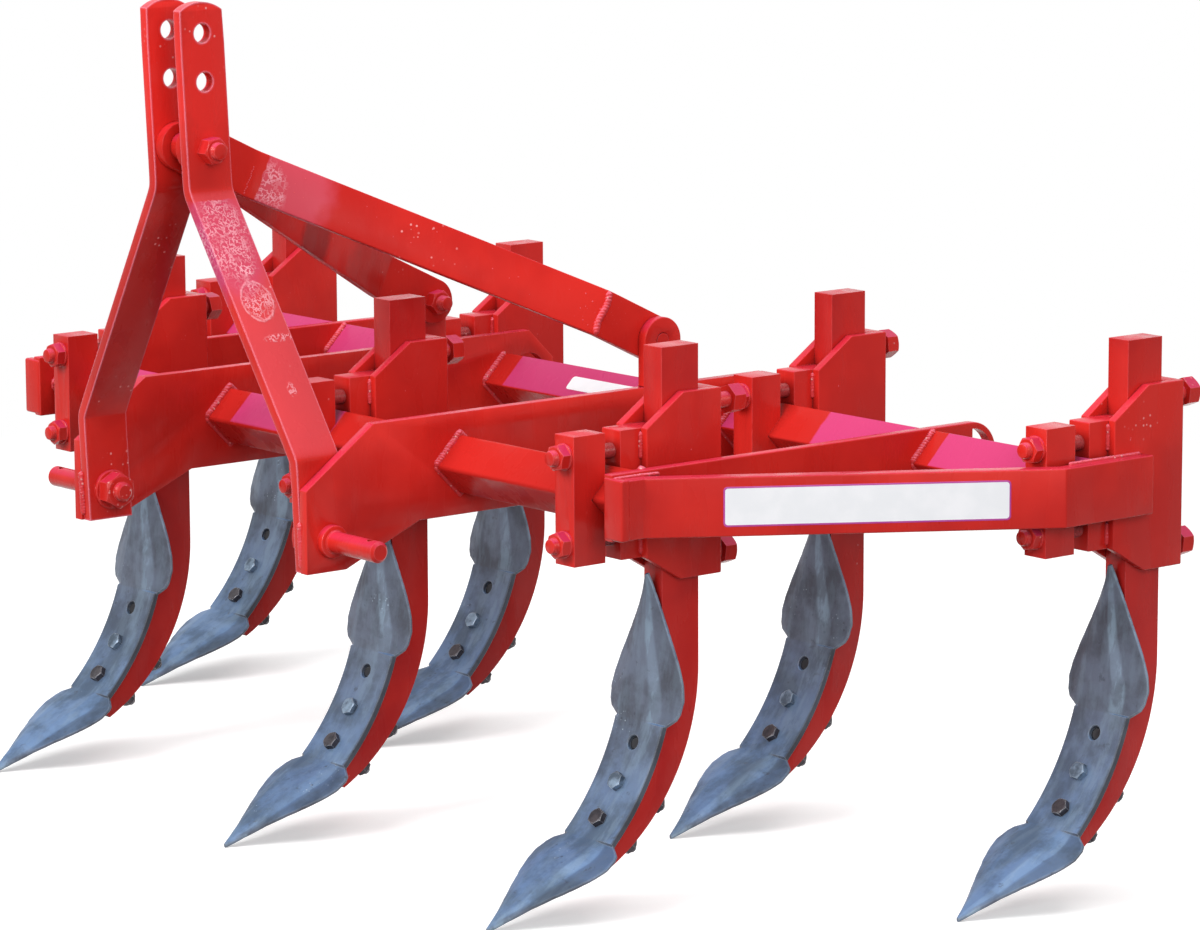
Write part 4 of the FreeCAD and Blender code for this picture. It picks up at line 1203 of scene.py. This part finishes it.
# Low domes thrown over flat faces: each is a coarse lathe standing on the face's normal.
def spatterShells():
    chance = np.random.default_rng(spatter["seed"])
    shells = []
    for index in range(spatter["count"]):
        size = spatter["small"] + (spatter["large"] - spatter["small"]) * chance.random() ** 3
        kind = index % 4
        if kind < 2:
            side = 1.0 if index % 3 else -1.0
            low = brace["length"] - brace["bendLow"]
            run = chance.uniform(80.0, low) if kind else low + chance.normal(0.0, 22.0)
            run = min(run, brace["length"] - 30.0)
            start = bracePoint(run, chance.uniform(-21.0, 21.0), -0.2, side)
            normal = (0.0, side, 0.0)
        elif kind == 2:
            z = chance.uniform(-85.0, 20.0)
            start = np.array([mastX(z) + chance.uniform(-22.0, 22.0), 186.8, z])
            normal = (0.0, -1.0, 0.0)
        else:
            tine = list(layout["tines"])[index // 4 % 7]
            start = np.array([rowX(tine) + chance.uniform(-60.0, 10.0),
                              layout["tines"][tine] + 24.1, chance.uniform(34.0, 64.0)])
            normal = (0.0, 1.0, 0.0)
        rows = [(-0.5, size * 1.3), (size * 0.25, size), (size * 0.6, size * 0.55)]
        shells.append(turned(start, normal, rows, 9))
    # a row of drops along the left brace's upper bend
    for offset in np.arange(-22.0, 9.0, 2.4):
        start = bracePoint(brace["bendHigh"] + chance.normal(0.0, 0.5), offset, -0.2)
        shells.append(turned(start, (0.0, 1.0, 0.0), [(-0.5, 1.1), (0.25, 0.9), (0.5, 0.5)], 9))
    return shells


addPiece("weldSpatter", spatterShells(), "weld", "", 60.0)
print("weld details made")

# labels, left blank

slope = math.sqrt(0.5)
label = {"film": 0.35, "rim": 1.7, "corner": 4.0,
         # lower front corner, directions along and up, length, height and whether it has a rim
         "barLabel": ((14.0879, 574.6184, -21.0), (-0.8387, 0.5448, 0.0), (0.0, 0.0, 1.0),
                      287.0, 40.0, True),
         "toolbarLabel": ((rearTubeX + 33.0 * slope, -61.0, layout["tubeHalf"] - 33.0 * slope),
                          (0.0, 1.0, 0.0), (-slope, 0.0, slope), 139.0, 18.0, False)}


# Rounded rectangle rings, each offset inwards, joined to a thin film whose outer band is the rim.
def addLabel(name, corner, along, up, length, height, rimmed):
    corner, along, up = (np.asarray(v, float) for v in (corner, along, up))
    out = np.cross(along, up)
    quarter = np.linspace(0.0, math.pi / 2.0, 7)
    rings = []
    for inset, lift in ((0.0, 0.02), (0.0, label["film"] * 0.8), (0.25, label["film"]),
                        (label["rim"], label["film"]), (label["rim"] + 0.3, label["film"])):
        radius = label["corner"] - inset * 0.6
        wide, high = length / 2.0 - inset, height / 2.0 - inset
        points = []
        for turn, (sx, sy) in enumerate(((1, 1), (-1, 1), (-1, -1), (1, -1))):
            angle = quarter + turn * math.pi / 2.0
            points.append(np.stack([sx * (wide - radius) + radius * np.cos(angle),
                                    sy * (high - radius) + radius * np.sin(angle)], 1))
        flat = np.concatenate(points)
        rings.append(corner + along * (length / 2.0 + flat[:, :1])
                     + up * (height / 2.0 + flat[:, 1:]) + out * lift)
    piece = addPiece(name, [ringShell(np.stack(rings))], "label", "", 20.0)
    if rimmed:
        piece.data.materials.append(materials["labelRim"])
        band = np.zeros(len(piece.data.polygons), dtype=np.int32)
        band[:28 * 3] = 1
        piece.data.polygons.foreach_set("material_index", band)


for name in ("barLabel", "toolbarLabel"):
    addLabel(name, *label[name])
print("labels made")

# floor, lights and camera

studio = {"floorRadius": 40.0, "fade": (1.3, 2.6), "floorColor": (0.93, 0.93, 0.93),
          "floorForLight": (0.13, 0.13, 0.13), "floorGlow": 0.32, "worldForLight": 0.42,
          # place, aim, size, watts
          "key": ((4.0, -0.2, 2.9), (0.0, 0.1, 0.4), 2.2, 150.0),
          "top": ((-0.4, 0.4, 4.2), (0.0, 0.0, 0.4), 3.4, 90.0),
          "side": ((2.2, 4.6, 2.2), (0.0, 0.2, 0.4), 2.4, 110.0)}

mesh = bpy.data.meshes.new("studioFloor")
angle = fullTurn(64)
rim = np.stack([np.cos(angle), np.sin(angle), 0.0 * angle], 1) * studio["floorRadius"]
mesh.from_pydata(rim.tolist(), [], [list(range(64))])
linked("studioFloor", mesh)


# One when a ray looks at the thing directly, in a reflection or through glass.
def seenRay(tree):
    path = addNode(tree, "LightPath").outputs
    return plus(tree, plus(tree, path["Is Camera Ray"], path["Is Glossy Ray"]),
                 path["Is Transmission Ray"], True)


material, tree = newMaterial("pale studio floor")
place, seen = placeOn(tree), seenRay(tree)
pale = mixColors(tree, noiseAt(tree, place, 5.0), studio["floorColor"], (0.95, 0.95, 0.95))
reach = vectors(tree, "LENGTH", place, None, "Value")
far = stepBetween(tree, reach, *studio["fade"])
pale = mixColors(tree, far, pale, (0.0, 0.0, 0.0))
pale = mixColors(tree, seen, studio["floorForLight"], pale)
finishMaterial(material, pale, plain={"Emission Color": (1.0, 1.0, 1.0, 1.0), "Roughness": 0.9,
                                      "Specular IOR Level": 0.0})
glow = stepBetween(tree, far, 0.0, 1.0, studio["floorGlow"], 1.0)
tree.links.new(times(tree, seen, glow), tree.nodes["Principled BSDF"].inputs["Emission Strength"])
mesh.materials.append(material)

world = bpy.data.worlds.new("studio")
bpy.context.scene.world = world
world.use_nodes = True
tree = world.node_tree
ground = tree.nodes["Background"]
level = stepBetween(tree, seenRay(tree), 0.0, 1.0, studio["worldForLight"], 1.0)
tree.links.new(level, ground.inputs["Strength"])
ground.inputs["Color"].default_value = (1.0, 1.0, 1.0, 1.0)

for name in ("key", "top", "side"):
    place, aim, size, power = studio[name]
    lamp = bpy.data.lights.new(name + "Softbox", "AREA")
    lamp.shape, lamp.size, lamp.energy = "SQUARE", size, power
    thing = linked(name + "Softbox", lamp)
    thing.location = place
    thing.rotation_euler = (Vector(aim) - Vector(place)).to_track_quat("-Z", "Y").to_euler()

view = {"place": (3.17784, 4.2429, 0.88162), "turn": 50.784, "rise": 9.968, "roll": -0.273,
        "lens": 150.26, "shift": (0.00919, 0.00922)}
turn, rise, roll = (math.radians(view[k]) for k in ("turn", "rise", "roll"))
away = np.array([math.cos(turn) * math.cos(rise), math.sin(turn) * math.cos(rise), math.sin(rise)])
right = np.array([-math.sin(turn), math.cos(turn), 0.0])
upward = np.cross(away, right)
level = [math.cos(roll) * right + math.sin(roll) * upward,
         math.cos(roll) * upward - math.sin(roll) * right, away, origin + np.array(view["place"])]
lens = bpy.data.cameras.new("camera")
lens.lens, lens.sensor_width = view["lens"], 36.0
lens.shift_x, lens.shift_y = view["shift"]
lens.clip_end = 200.0
camera = linked("camera", lens)
camera.matrix_world = Matrix(np.vstack([np.array(level).T, [0.0, 0.0, 0.0, 1.0]]).tolist())
bpy.context.scene.camera = camera
bpy.context.scene.view_settings.view_transform = "Standard"
print("studio ready")

bpy.context.view_layer.update()
